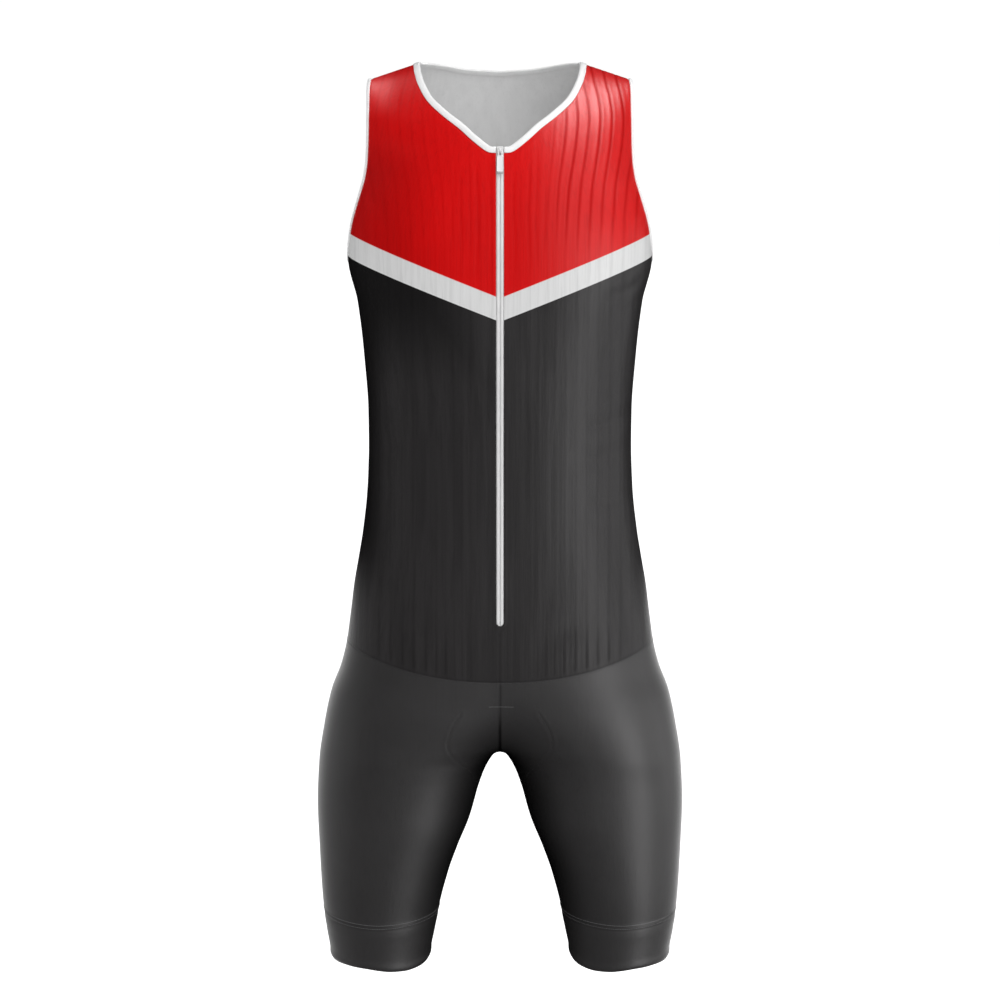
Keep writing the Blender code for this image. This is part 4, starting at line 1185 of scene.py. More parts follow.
# Outline of the sewn-in seat pad as it shows: x, z, and whether it lies on the back.
PAD_LINE = [
    (0.0400, -0.6580, False),
    (0.0510, -0.6770, False),
    (0.0540, -0.6970, False),
    (0.0440, -0.7140, False),
    (0.0300, -0.7330, False),
]
PAD_LINE_BACK = [
    (0.0330, -0.7330, True),
    (0.0560, -0.7080, True),
    (0.0720, -0.6760, True),
    (0.0700, -0.6420, True),
    (0.0460, -0.6200, True),
    (0.0005, -0.6120, True),
]
LEG_FOLDS = {
    1: [  # points as (turn, z), width, depth
        ([(0.10, -0.700), (0.50, -0.690), (0.95, -0.668)], 0.0120, -0.00014),
        ([(0.00, -0.722), (0.45, -0.726), (0.90, -0.712)], 0.0130, -0.00009),
        ([(-0.95, -0.752), (-0.50, -0.764), (-0.05, -0.768)], 0.0100, -0.00010),
        ([(-1.20, -0.790), (-0.80, -0.800), (-0.40, -0.802)], 0.0100, -0.00008),
        ([(3.00, -0.742), (2.60, -0.752), (2.10, -0.742)], 0.0100, -0.0016),
        ([(3.60, -0.760), (3.10, -0.776), (2.60, -0.772)], 0.0080, -0.0012),
        ([(3.90, -0.800), (3.50, -0.812), (3.10, -0.806)], 0.0070, -0.0009),
        ([(3.30, -0.846), (2.90, -0.854), (2.50, -0.848)], 0.0080, -0.0008),
    ],
    -1: [
        ([(0.05, -0.706), (0.45, -0.694), (1.00, -0.676)], 0.0120, -0.00014),
        ([(0.00, -0.730), (0.40, -0.732), (0.80, -0.722)], 0.0130, -0.00009),
        ([(-1.00, -0.756), (-0.55, -0.770), (-0.15, -0.774)], 0.0100, -0.00008),
        ([(3.05, -0.748), (2.55, -0.756), (2.15, -0.748)], 0.0110, -0.0015),
        ([(3.70, -0.768), (3.20, -0.782), (2.75, -0.780)], 0.0080, -0.0011),
        ([(3.85, -0.806), (3.40, -0.820), (3.00, -0.814)], 0.0080, -0.0010),
        ([(3.20, -0.856), (2.80, -0.862), (2.45, -0.856)], 0.0080, -0.0007),
    ],
}


def leg_hub(z):
    return np.where(z < CROTCH_Z, centre(z), centre(z) * 0.6)


def rise_line():
    """Turn of the middle plane at each height above the crotch."""
    heights = np.linspace(CROTCH_Z, -0.56, 400)
    n = squareness(heights)
    s = np.clip((FOLD - centre(heights)) / half_section(heights), -1, 1)
    turns = np.arctan2(s, (1 - np.abs(s) ** n) ** (1 / n))
    turns[0] = -math.pi / 2
    return heights, turns


CUFF_LIFT = 0.0045  # how much higher the seam of the cuff runs at the sides


def cuff_seam(turn):
    return CUFF_Z + 0.0006 + CUFF_LIFT * np.abs(np.sin(turn)) ** 1.5


def leg_grid():
    heights, turns = rise_line()
    front = WAIST_PATHS[False]
    back = WAIST_PATHS[True]
    front_mid, back_mid = front[0, 0], math.pi - back[0, 0]
    front_z, back_z = waist_z(front_mid, False), waist_z(back[0, 0], True)

    def rise(top_z, count):
        # Even steps over the surface from the crotch up.
        z = np.linspace(CROTCH_Z, top_z, 300)
        t = np.interp(z, heights, turns)
        x, y = section(t, z)
        s = np.concatenate([[0], np.cumsum(np.hypot(np.diff(y), np.diff(z)))])
        z = np.interp(np.linspace(0, s[-1], count), s, z)
        return np.interp(z, heights, turns), z

    ft, fz = rise(front_z, RISE_COLS)
    bt, bz = rise(back_z, BACK_RISE_COLS)
    half = WAIST_COLS // 2
    f = across(front, np.linspace(0, 1, half))
    b = across(back, np.linspace(0, 1, half))[::-1]
    columns = list(ft[:-1]) + list(f[:, 0]) + list(math.pi - b[1:, 0]) + list((math.pi - bt)[::-1][1:-1])
    tops = list(fz[:-1]) + list(UNDERARM_Z + VAULT_STEP * f[:, 1])
    tops += list(UNDERARM_Z + VAULT_STEP * (2 - b[1:, 1])) + list(bz[::-1][1:-1])
    columns, tops = np.array(columns), np.array(tops)
    share = np.linspace(0, 1, LEG_ROWS)
    end = cuff_seam(columns)
    on_middle = (columns < front_mid - 1e-9) | (columns > back_mid + 1e-9)
    near_middle = np.clip(np.maximum(front_mid + 0.8 - columns, columns - back_mid + 0.8) / 0.8, 0, 1)
    power = np.where(on_middle, 1.75, 1 + 0.75 * near_middle**2)
    z = tops[None] + (end[None] - tops[None]) * share[:, None] ** power[None]
    turn = np.broadcast_to(columns, z.shape)
    x, y = section(turn, z)
    x = np.array(x)
    x[0, on_middle] = 0.0
    return np.stack([x, y, z], -1), turn, on_middle


def leg_line(rows):
    """Points of the right leg's outer face at a few (turn, z)."""
    out = []
    for t, z in rows:
        x, y = section(t, z)
        p = np.array([float(x), float(y), z])
        hub = np.array([float(centre(z)), 0.0, z])
        out.append(p + (p - hub) / np.linalg.norm(p - hub) * 0.0015)
    return out


def pad_line():
    """The pad's outline on the right leg: front, round the inner thigh, and up the back."""
    front = [place(x, z, False)[0] for x, z, _ in PAD_LINE]
    back = [math.pi - place(x, z, True)[0] for x, z, _ in PAD_LINE_BACK]
    rows = [(t, z) for t, (_, z, _) in zip(front, PAD_LINE)]
    rows += [(-1.15, -0.744), (-math.pi / 2, -0.7475), (-2.0, -0.744)]
    rows += [(t - 2 * math.pi, z) for t, (_, z, _) in zip(back, PAD_LINE_BACK)]
    flat = rounded([np.array(r) for r in rows], 10)
    x, y = section(flat[:, 0], flat[:, 1])
    return np.stack([x, y, flat[:, 1]], -1), flat


def leg_normals(pts, on_middle):
    n = np.nan_to_num(normals(pts, True, leg_hub))
    # On the middle plane the wall stands straight out of the rise, and straight down at the crotch.
    first = n[0].copy()
    first[on_middle, 0] = 0.0
    down = 0.35 * np.exp(-(((pts[0, :, 2] - CROTCH_Z) / 0.012) ** 2)) * on_middle
    first[:, 2] -= down
    n[0] = first / np.maximum(np.linalg.norm(first, axis=-1, keepdims=True), 1e-9)
    return n


def build_leg(side):
    pts, turn, on_middle = leg_grid()
    far, _, top, low = edge_distances(pts, True)
    x, z = pts[..., 0], pts[..., 2]
    folds = [(leg_line(rows), wide, depth) for rows, wide, depth in LEG_FOLDS[side]]
    relief = creases(pts, folds)
    pad, _ = pad_line()
    d, share = near(pts, pad)
    relief += -0.00022 * bump(d, 0.0010) + 0.00016 * bump(d - 0.0028, 0.0018)
    middle = np.broadcast_to(on_middle, top.shape)
    relief += np.where(middle, seam_dip(top, 0.0002, 0.0012), seam_dip(top, 0.00015, 0.0008))
    lip = 0.00035 * bump(low, 0.0014)
    relief += lip
    # Painted shade for the colour: dark along the seams, and on the inner thigh and at the crotch, where less light
    # falls.
    rise = 0.45 + 0.50 * smooth(-z, 0.655, 0.680)
    painted_shade = np.where(middle, rise * bump(top, 0.0015), 0.25 * bump(top, 0.0008))
    lift = smooth(-z, 0.700, 0.730) * (1 - 0.35 * smooth(-z, 0.83, 0.90))
    inner_thigh_shade = smooth(-np.sin(turn), 0.45, 0.98) * lift + 0.6 * middle * bump(z - CROTCH_Z, 0.030) * bump(top, 0.030)
    painted_shade = np.clip(painted_shade + 0.80 * inner_thigh_shade, 0, 1)
    name = "leg_shell_right" if side > 0 else "leg_shell_left"
    # The middle columns start on the middle plane and stay there.
    n = leg_normals(pts, on_middle)
    outer = pts + n * (CLOTH + relief)[..., None]
    outer[0, on_middle, 0] = 0.0
    obj = grid_mesh(
        name, outer, [MATS["leg"], MATS["dark_lining"]], True, side < 0, n,
        {"painted_shade": painted_shade, "cloth": cloth_uv(pts)},
    )
    mod = obj.modifiers.new("wall", "SOLIDIFY")
    mod.thickness = 0.0010
    mod.offset = -1.0
    mod.use_even_offset = False
    mod.material_offset = mod.material_offset_rim = 1
    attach(obj, BODY)
    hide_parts("leg_right" if side > 0 else "leg_left")
    return obj, outer, n, turn


CUFF_ROWS, CUFF_COLS = 34, 220
# How far the worn hem stands below or above its cut line, by turn from the front.
HEM_WAVE = {
    1: [(-1.6, 0.0010), (-1.0, -0.0028), (-0.60, -0.0040), (-0.20, -0.0030), (0.25, 0.0004), (0.70, 0.0014),
        (1.2, 0.0004), (1.6, 0.0008), (2.4, -0.0010), (3.2, 0.0004), (3.9, -0.0008), (4.68, 0.0010)],
    -1: [(-1.6, 0.0010), (-1.0, -0.0030), (-0.60, -0.0042), (-0.20, -0.0030), (0.25, 0.0004), (0.70, 0.0014),
         (1.2, 0.0006), (1.6, 0.0006), (2.5, -0.0008), (3.2, 0.0006), (3.8, -0.0010), (4.68, 0.0010)],
}


def build_cuff(side):
    turn = np.linspace(-math.pi / 2, 1.5 * math.pi, CUFF_COLS, endpoint=False)
    rows = HEM_WAVE[side]
    wave = np.interp(turn, [r[0] for r in rows], [r[1] for r in rows])
    for _ in range(6):
        wave = (np.roll(wave, 1) + wave * 2 + np.roll(wave, -1)) / 4
    share = np.linspace(0, 1, CUFF_ROWS)
    start = cuff_seam(turn)[None]
    z = start + (HEM_Z + 0.0014 + wave[None] - start) * share[:, None]
    t = np.broadcast_to(turn, z.shape)
    x, y = section(t, z)
    pts = np.stack([x, y, z], -1)
    far, _, top, low = edge_distances(pts, True)
    # The elastic band draws in a little between its two edges.
    relief = seam_dip(top, 0.0004, 0.0010) - 0.00030 * bump(top - 0.0046, 0.0012) + 0.0003 * bump(top - 0.012, 0.006)
    relief += 0.0007 * bump(low - 0.004, 0.004) - 0.0009 * bump(low, 0.0016)
    relief += 0.00025 * np.sin(3 * t + side) * smooth(share[:, None], 0.3, 1.0)
    # Painted shade for the colour: dark along the seams and on the inner side of the cuff.
    painted_shade = 0.15 * bump(top, 0.0007) + 0.10 * bump(top - 0.0046, 0.0009)
    painted_shade = np.clip(painted_shade + 0.45 * smooth(-np.sin(t), 0.55, 0.98), 0, 1)
    name = "cuff_shell_right" if side > 0 else "cuff_shell_left"
    obj, outer, n = shell(
        name, pts, relief, [MATS["cuff"], MATS["dark_lining"]], closed=True, mirror=side < 0, hub=centre,
        attributes={"painted_shade": painted_shade, "cloth": cloth_uv(pts)},
    )
    obj.modifiers["wall"].material_offset_rim = 1
    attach(obj, BODY)
    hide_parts("cuff_right" if side > 0 else "cuff_left")
    return obj, outer, n


# ------------------------------------------------------------------ bindings
def form_normal(path):
    a, b = slopes(path[:, 0], path[:, 1])
    n = np.cross(a, b)
    n /= np.maximum(np.linalg.norm(n, axis=1, keepdims=True), 1e-12)
    p = form(path[:, 0], path[:, 1])
    away = p - np.stack([0 * p[:, 0], 0 * p[:, 1], np.minimum(p[:, 2], UNDERARM_Z)], 1)
    sign = np.sign(np.sum(n * away, 1))
    return n * sign[:, None]


def smooth_rows(v, times, closed):
    for _ in range(times):
        if closed:
            v = (np.roll(v, 1, 0) + 2 * v + np.roll(v, -1, 0)) / 4
        else:
            v[1:-1] = (v[:-2] + 2 * v[1:-1] + v[2:]) / 4
    return v


def tube_mesh(name, rings, mats, closed, groups=None, attributes=None, caps=True):
    """A closed surface through rings of points; rings has shape (stations, around, 3)."""
    stations, around = rings.shape[:2]
    verts = rings.reshape(-1, 3).tolist()
    faces, slots = [], []
    for i in range(stations if closed else stations - 1):
        m = (i + 1) % stations
        for k in range(around):
            n = (k + 1) % around
            faces.append((i * around + k, i * around + n, m * around + n, m * around + k))
            slots.append(groups[k] if groups else 0)
    if not closed and caps:
        faces.append(tuple(range(around)))
        faces.append(tuple(range((stations - 1) * around, stations * around)))
        slots += [0, 0]
    mesh = bpy.data.meshes.new(name)
    mesh.from_pydata(verts, [], faces)
    mesh.polygons.foreach_set("material_index", slots)
    for mat in mats:
        mesh.materials.append(mat)
    mesh.shade_smooth()
    for key, values in (attributes or {}).items():
        values = np.asarray(values, np.float32)
        if values.shape[-1] == 3 and values.ndim == 3:
            mesh.attributes.new(key, "FLOAT_VECTOR", "POINT").data.foreach_set("vector", values.reshape(-1))
        else:
            mesh.attributes.new(key, "FLOAT", "POINT").data.foreach_set("value", values.reshape(-1))
    bm = bmesh.new()
    bm.from_mesh(mesh)
    bmesh.ops.recalc_face_normals(bm, faces=bm.faces)
    bm.to_mesh(mesh)
    bm.free()
    obj = bpy.data.objects.new(name, mesh)
    bpy.context.scene.collection.objects.link(obj)
    return obj


# One turn of the binding's cross section: share from seam (0) to free edge (1), height above the form.
BINDING_PROFILE = [
    (-0.100, 0.00150),
    (-0.060, 0.00198),
    (0.020, 0.00222),
    (0.110, 0.00236),
    (0.170, 0.00226),
    (0.240, 0.00234),
    (0.360, 0.00246),
    (0.500, 0.00250),
    (0.640, 0.00246),
    (0.780, 0.00228),
    (0.890, 0.00190),
    (0.965, 0.00130),
    (1.000, 0.00055),
    (0.985, -0.00010),
    (0.930, -0.00040),
    (0.700, -0.00052),
    (0.400, -0.00052),
    (0.100, -0.00050),
    (-0.060, -0.00025),
    (-0.100, 0.00035),
    (-0.035, 0.00080),
]


def path_join(front, back):
    return np.concatenate([front, back[1:]])


NECK_PATH = path_join(FRONT_NECK_SEAM, BACK_NECK_SEAM)


def neck_side(count):
    """Seam and free edge of the neck binding on the right half, front middle to back middle."""
    seam = across(NECK_PATH, np.linspace(0, 1, count))
    up = form_normal(seam)
    a, b = slopes(seam[:, 0], seam[:, 1])
    pts = form(seam[:, 0], seam[:, 1])
    run = np.gradient(pts, axis=0)
    run = smooth_rows(run, 4, False)
    up = smooth_rows(up, 10, False)
    run /= np.linalg.norm(run, axis=1, keepdims=True)
    up -= run * np.sum(up * run, 1, keepdims=True)
    up /= np.linalg.norm(up, axis=1, keepdims=True)
    way = np.cross(run, up)
    # The free edge lies towards the neck opening.
    for k in range(count):
        if way[k] @ (np.array([0.0, 0.0, 0.03]) - pts[k]) < 0:
            way[k] = -way[k]
    return pts, way, up, run


def build_neck_binding():
    pts, way, up, run = neck_side(230)
    way = smooth_rows(way, 12, False)
    way /= np.linalg.norm(way, axis=1, keepdims=True)
    # The band keeps one width all round.
    wide = np.full(len(pts), NECK_BINDING_WIDE)
    free = pts + way * wide[:, None]
    # The first cross section is cut straight beside the zip.
    x_cut = ZIP_HALF + 0.00018
    for arr in (pts, free):
        keep = arr[:, 0] < x_cut
        near_zip = keep & (np.arange(len(arr)) < 30)
        arr[near_zip, 0] = x_cut
    pts[-1, 0] = free[-1, 0] = 0.0
    up[-1, 0] = 0.0
    soft = 1 + 0.05 * np.sin(np.linspace(0, 23, len(pts))) + 0.03 * np.sin(np.linspace(1, 61, len(pts)))
    rings = []
    for share, high in BINDING_PROFILE:
        lift = high * (soft if high > 0.0015 else 1.0)
        rings.append(pts + (free - pts) * share + up * np.asarray(lift).reshape(-1, 1))
    half = np.stack(rings, 1)
    mirror = np.array([-1.0, 1.0, 1.0])
    whole = np.concatenate([half, (half * mirror)[-2::-1]])
    around = len(BINDING_PROFILE)
    # The inner face of the band is the same grey knit as the panels' inside.
    inner = [1 if 12 <= k <= 18 else 0 for k in range(around)]
    length = np.concatenate([[0], np.cumsum(np.linalg.norm(np.diff(whole[:, 6], axis=0), axis=1))])
    shares = np.array([p[0] for p in BINDING_PROFILE]) * NECK_BINDING_WIDE
    cloth = np.zeros(whole.shape)
    cloth[..., 0] = shares[None]
    cloth[..., 1] = length[:, None]
    # Painted shade for the colour: darker at the band's seam edge and a little along its stitch line.
    painted_shade = np.zeros(whole.shape[:2])
    painted_shade[:, 0] = 0.5
    painted_shade[:, 4] = 0.10
    obj = tube_mesh(
        "neck_band", whole, [MATS["binding"], MATS["lining"]], False, inner, {"cloth": cloth, "painted_shade": painted_shade}
    )
    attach(obj, BODY)
    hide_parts("neck_binding")
    line = pts + (free - pts) * 0.17 + up * 0.00238
    both = np.concatenate([line, (line * mirror)[-2::-1]])
    lifts = np.concatenate([up, (up * mirror)[-2::-1]])
    return obj, both, lifts, length[-1]


def build_arm_binding(side):
    """The armhole's folded band: seam, free edge, front and back halves, joined over the shoulder."""
    front = across(ARM_SEAM, np.linspace(0, 1, 120))
    pts = form(front[:, 0], front[:, 1])
    edge_path = across(ARM_EDGE, np.linspace(0, 1, 400))
    edge = form(edge_path[:, 0], edge_path[:, 1])
    up = smooth_rows(form_normal(front), 6, False)
    free = np.empty_like(pts)
    last = 0
    for k in range(len(pts)):
        d = np.linalg.norm(edge - pts[k], axis=1)
        free[k] = edge[int(np.argmin(d))]
    free[0] = form(np.array([math.pi / 2]), np.array([ARM_EDGE[0, 1]]))[0]
    free[-1] = edge[-1]
    free = smooth_rows(free, 8, False)
    way = free - pts
    long = np.linalg.norm(way, axis=1, keepdims=True)
    way /= long
    long = np.clip(long, ARM_BINDING_WIDE * 0.85, ARM_BINDING_WIDE * 1.05)
    way = smooth_rows(way, 6, False)
    way /= np.linalg.norm(way, axis=1, keepdims=True)
    free = pts + way * long
    up -= way * np.sum(up * way, 1, keepdims=True)
    up /= np.linalg.norm(up, axis=1, keepdims=True)
    for arr in (pts, free):
        arr[0, 1] = arr[-1, 1] = 0.0
    for arr in (up,):
        arr[0, 1] = arr[-1, 1] = 0.0
    flip = np.array([1.0, -1.0, 1.0])

    def around(v):
        return np.concatenate([v, (v * flip)[-2:0:-1]])

    base, tip, lift = around(pts), around(free), around(up)
    lift /= np.linalg.norm(lift, axis=1, keepdims=True)
    soft = 1 + 0.04 * np.sin(np.linspace(0, 10 * math.pi, len(base), endpoint=False))
    rings = []
    for share, high in BINDING_PROFILE:
        rings.append(base + (tip - base) * share + lift * (high * (soft if high > 0.0015 else 1.0) * np.ones(len(base)))[:, None])
    rings = np.stack(rings, 1)
    if side < 0:
        rings[..., 0] *= -1
        base, tip, lift = base * [-1, 1, 1], tip * [-1, 1, 1], lift * [-1, 1, 1]
    length = np.concatenate([[0], np.cumsum(np.linalg.norm(np.diff(rings[:, 6], axis=0), axis=1))])
    shares = np.array([p[0] for p in BINDING_PROFILE]) * ARM_BINDING_WIDE
    cloth = np.zeros(rings.shape)
    cloth[..., 0] = shares[None]
    cloth[..., 1] = length[:, None]
    # Painted shade for the colour: a little darker at the band's seam edge.
    painted_shade = np.zeros(rings.shape[:2])
    painted_shade[:, 0] = 0.08
    name = "armhole_band_right" if side > 0 else "armhole_band_left"
    inner = [1 if 12 <= k <= 18 else 0 for k in range(len(BINDING_PROFILE))]
    obj = tube_mesh(name, rings, [MATS["arm_binding"], MATS["lining"]], True, inner, {"cloth": cloth, "painted_shade": painted_shade})
    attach(obj, BODY)
    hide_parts("armhole_binding_right" if side > 0 else "armhole_binding_left")
    line = base + (tip - base) * 0.17 + lift * 0.00238
    return obj, line, lift, length[-1]


# ------------------------------------------------------------------ zip
def zip_tape(side):
    """One half of the closed zip: a soft roll beside the middle, with a rounded lower end."""
    top = FRONT_NECK[0][1] + 0.0040
    rows, around = 420, 15
    d = np.linspace(0, 1, rows)
    z = top + (ZIP_END_Z + 0.0003 - top) * (1 - (1 - d) ** 1.25)
    centre_path = np.array([place(0.0, v) for v in z])
    mid = form(centre_path[:, 0], centre_path[:, 1])
    mid[:, 0] = 0.0
    run = np.gradient(mid, axis=0)
    run /= np.linalg.norm(run, axis=1, keepdims=True)
    out = np.cross(run, np.array([1.0, 0, 0]))
    out *= np.where(out[:, 1:2] > 0, -1.0, 1.0)
    s = np.concatenate([[0], np.cumsum(np.linalg.norm(np.diff(mid, axis=0), axis=1))])
    limit = np.array([max(0.0006, zip_edge_x(v) - 0.00015) for v in z])
    rings = []
    profile = [  # share of the half width, height above the form
        (0.04, 0.00022), (0.06, 0.00062), (0.14, 0.00094), (0.27, 0.00116), (0.45, 0.00126), (0.63, 0.00120),
        (0.80, 0.00098), (0.92, 0.00066), (1.00, 0.00020), (0.96, -0.00030), (0.80, -0.00048), (0.55, -0.00050),
        (0.30, -0.00050), (0.10, -0.00045), (0.04, -0.00020),
    ]
    thin = np.clip(limit / (ZIP_HALF - 0.0002), 0.25, 1.0)
    for share, high in profile:
        x = np.maximum(0.00012, share * limit)
        wobble = 1 + 0.03 * np.sin(s * 260 + 2 * side) + 0.02 * np.sin(s * 91)
        p = mid + out * (high * wobble * (0.55 + 0.45 * thin))[:, None]
        p[:, 0] = side * x
        rings.append(p)
    rings = np.stack(rings, 1)
    cloth = np.zeros(rings.shape)
    cloth[..., 0] = rings[..., 0]
    cloth[..., 1] = s[:, None]
    # Painted shade for the colour: darker where the two halves meet and at the tucked outer edge.
    painted_shade = np.zeros(rings.shape[:2])
    painted_shade[:, [0, 1, 14]] = 0.35
    painted_shade[:, 2] = 0.15
    painted_shade[:, 3] = 0.08
    painted_shade[:, 8:10] = 0.25
    obj = tube_mesh(
        "zip_half_right" if side > 0 else "zip_half_left", rings, [MATS["zip"]], False, None,
        {"cloth": cloth, "painted_shade": painted_shade},
    )
    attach(obj, BODY)
    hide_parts("zip_tape_right" if side > 0 else "zip_tape_left")
    return obj, mid, out, s


def zip_coil(mid, out, s):
    """The fine interlocking teeth seen along the middle of the zip."""
    low = s[-1] - 0.004
    high = 0.0075  # below the slider
    pitch = 0.00118
    count = int((low - high) / pitch)
    at = high + (np.arange(count) + 0.5) * pitch
    p = np.stack([np.interp(at, s, mid[:, k]) for k in range(3)], 1)
    o = np.stack([np.interp(at, s, out[:, k]) for k in range(3)], 1)
    run = np.gradient(p, axis=0)
    run /= np.linalg.norm(run, axis=1, keepdims=True)
    starts, ends, lifts = [], [], []
    for side in (1, -1):
        shift = run * (pitch / 4 * side)
        a, b = p + shift + o * 0.00045, p + shift + o * 0.00070
        a, b = a.copy(), b.copy()
        a[:, 0], b[:, 0] = -side * 0.00025, side * 0.00105
        starts.append(a)
        ends.append(b)
        lifts.append(o)
    obj = capsules(
        "zip_teeth", np.concatenate(starts), np.concatenate(ends), np.concatenate(lifts), 0.00020, MATS["coil"], sides=5
    )
    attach(obj, BODY)
    return obj


def solid_of(name, loops, mat, bevel=0.0, segments=3):
    """A closed solid through outlines of the same count laid one above the other."""
    count = len(loops[0])
    verts = [tuple(p) for loop in loops for p in loop]
    faces = [tuple(range(count)), tuple(range((len(loops) - 1) * count, len(loops) * count))]
    for i in range(len(loops) - 1):
        for k in range(count):
            n = (k + 1) % count
            faces.append((i * count + k, i * count + n, (i + 1) * count + n, (i + 1) * count + k))
    mesh = bpy.data.meshes.new(name)
    mesh.from_pydata(verts, [], faces)
    mesh.materials.append(mat)
    bm = bmesh.new()
    bm.from_mesh(mesh)
    bmesh.ops.recalc_face_normals(bm, faces=bm.faces)
    bm.to_mesh(mesh)
    bm.free()
    mesh.shade_smooth()
    obj = bpy.data.objects.new(name, mesh)
    bpy.context.scene.collection.objects.link(obj)
    return obj


def joined(name, objs):
    """One object with the meshes of several."""
    bm = bmesh.new()
    mats = []
    for obj in objs:
        start = len(bm.faces)
        bm.from_mesh(obj.data)
        bm.faces.ensure_lookup_table()
        for face in bm.faces[start:]:
            mat = obj.data.materials[face.material_index]
            if mat not in mats:
                mats.append(mat)
            face.material_index = mats.index(mat)
            face.smooth = True
    mesh = bpy.data.meshes.new(name)
    bm.to_mesh(mesh)
    bm.free()
    for mat in mats:
        mesh.materials.append(mat)
    for obj in objs:
        old = obj.data
        bpy.data.objects.remove(obj)
        bpy.data.meshes.remove(old)
    obj = bpy.data.objects.new(name, mesh)
    bpy.context.scene.collection.objects.link(obj)
    return obj


def shield(low, ax, up, out, outline_rows, layers, count=40):
    """Loops of a rounded plate: outline rows (u, half width), layers (height, inset)."""
    u = np.array([r[0] for r in outline_rows])
    w = np.array([r[1] for r in outline_rows])
    right = rounded([np.array([a, b]) for a, b in zip(w, u)], 6)
    loop = np.concatenate([right, (right * [-1, 1])[::-1]])
    seg = np.concatenate([[0], np.cumsum(np.linalg.norm(np.diff(np.concatenate([loop, loop[:1]]), axis=0), axis=1))])
    even = np.linspace(0, seg[-1], count, endpoint=False)
    closed = np.concatenate([loop, loop[:1]])
    loop = np.stack([np.interp(even, seg, closed[:, k]) for k in range(2)], 1)
    mid = np.array([0.0, (u.max() + u.min()) / 2])
    half = np.array([w.max(), (u.max() - u.min()) / 2])
    loops = []
    low, ax, up, out = (np.array(v) for v in (low, ax, up, out))
    for high, inset in layers:
        flat = mid + (loop - mid) * (1 - inset / half)
        loops.append([low + ax * q[0] + up * q[1] + out * high for q in flat])
    return loops


def build_slider():
    low, ax, up, out = zip_frame()
    rows = [(0.0002, 0.0000), (0.0002, 0.0018), (0.0009, 0.0028), (0.0030, 0.0030), (0.0055, 0.0034), (0.0070, 0.0036),
            (0.0077, 0.0029), (0.0079, 0.0014), (0.0079, 0.0000)]
    front = shield(low, ax, up, out, rows, [
        (0.00172, 0.00040), (0.00176, 0.00012), (0.00195, 0.0), (0.00245, 0.0), (0.00272, 0.00010), (0.00288, 0.00035),
        (0.00296, 0.00080), (0.00300, 0.0014),
    ])
    plate = solid_of("slider_plate", front, MATS["slider"])
    rear = shield(low, ax, up, out, rows, [
        (-0.00040, 0.00030), (-0.00050, 0.0), (-0.00125, 0.0), (-0.00145, 0.00030),
    ])
    back = solid_of("slider_rear", rear, MATS["slider"])
    # The diamond that joins both plates at the top, between the two rows of teeth.
    post = shield(low, ax, up, out, [(0.0046, 0.0), (0.0050, 0.00050), (0.0064, 0.00085), (0.0074, 0.00040), (0.0076, 0.0)],
                  [(-0.0006, 0.0), (0.0019, 0.0)], 20)
    diamond = solid_of("slider_post", post, MATS["slider"])
    # The bail that holds the pull, a flat band bent over its bar.
    low_, ax_, up_, out_ = (np.array(v) for v in (low, ax, up, out))
    mid = [(0.00085, 0.00265), (0.00095, 0.00360), (0.00130, 0.00425), (0.00200, 0.00466), (0.00280, 0.00478),
           (0.00370, 0.00470), (0.00450, 0.00438), (0.00515, 0.00380), (0.00555, 0.00320), (0.00585, 0.00265)]
    line = rounded([np.array(m) for m in mid], 4)
    run = np.gradient(line, axis=0)
    run /= np.linalg.norm(run, axis=1, keepdims=True)
    side_dir = np.stack([-run[:, 1], run[:, 0]], 1)
    loops = []
    for m, sd, k in zip(line, side_dir, range(len(line))):
        loop = []
        for a in np.linspace(0, 2 * math.pi, 16, endpoint=False):
            cx = math.copysign(abs(math.cos(a)) ** 0.6, math.cos(a)) * (BAIL_HALF + 0.00018)
            cy = math.copysign(abs(math.sin(a)) ** 0.6, math.sin(a)) * 0.00023
            q = m + sd * cy
            loop.append(low_ + ax_ * cx + up_ * q[0] + out_ * q[1])
        loops.append(loop)
    bail = solid_of("slider_bail", loops, MATS["slider"])
    obj = joined("slider_body", [plate, back, diamond, bail])
    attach(obj, BODY)
    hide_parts("zip_slider")
    return obj


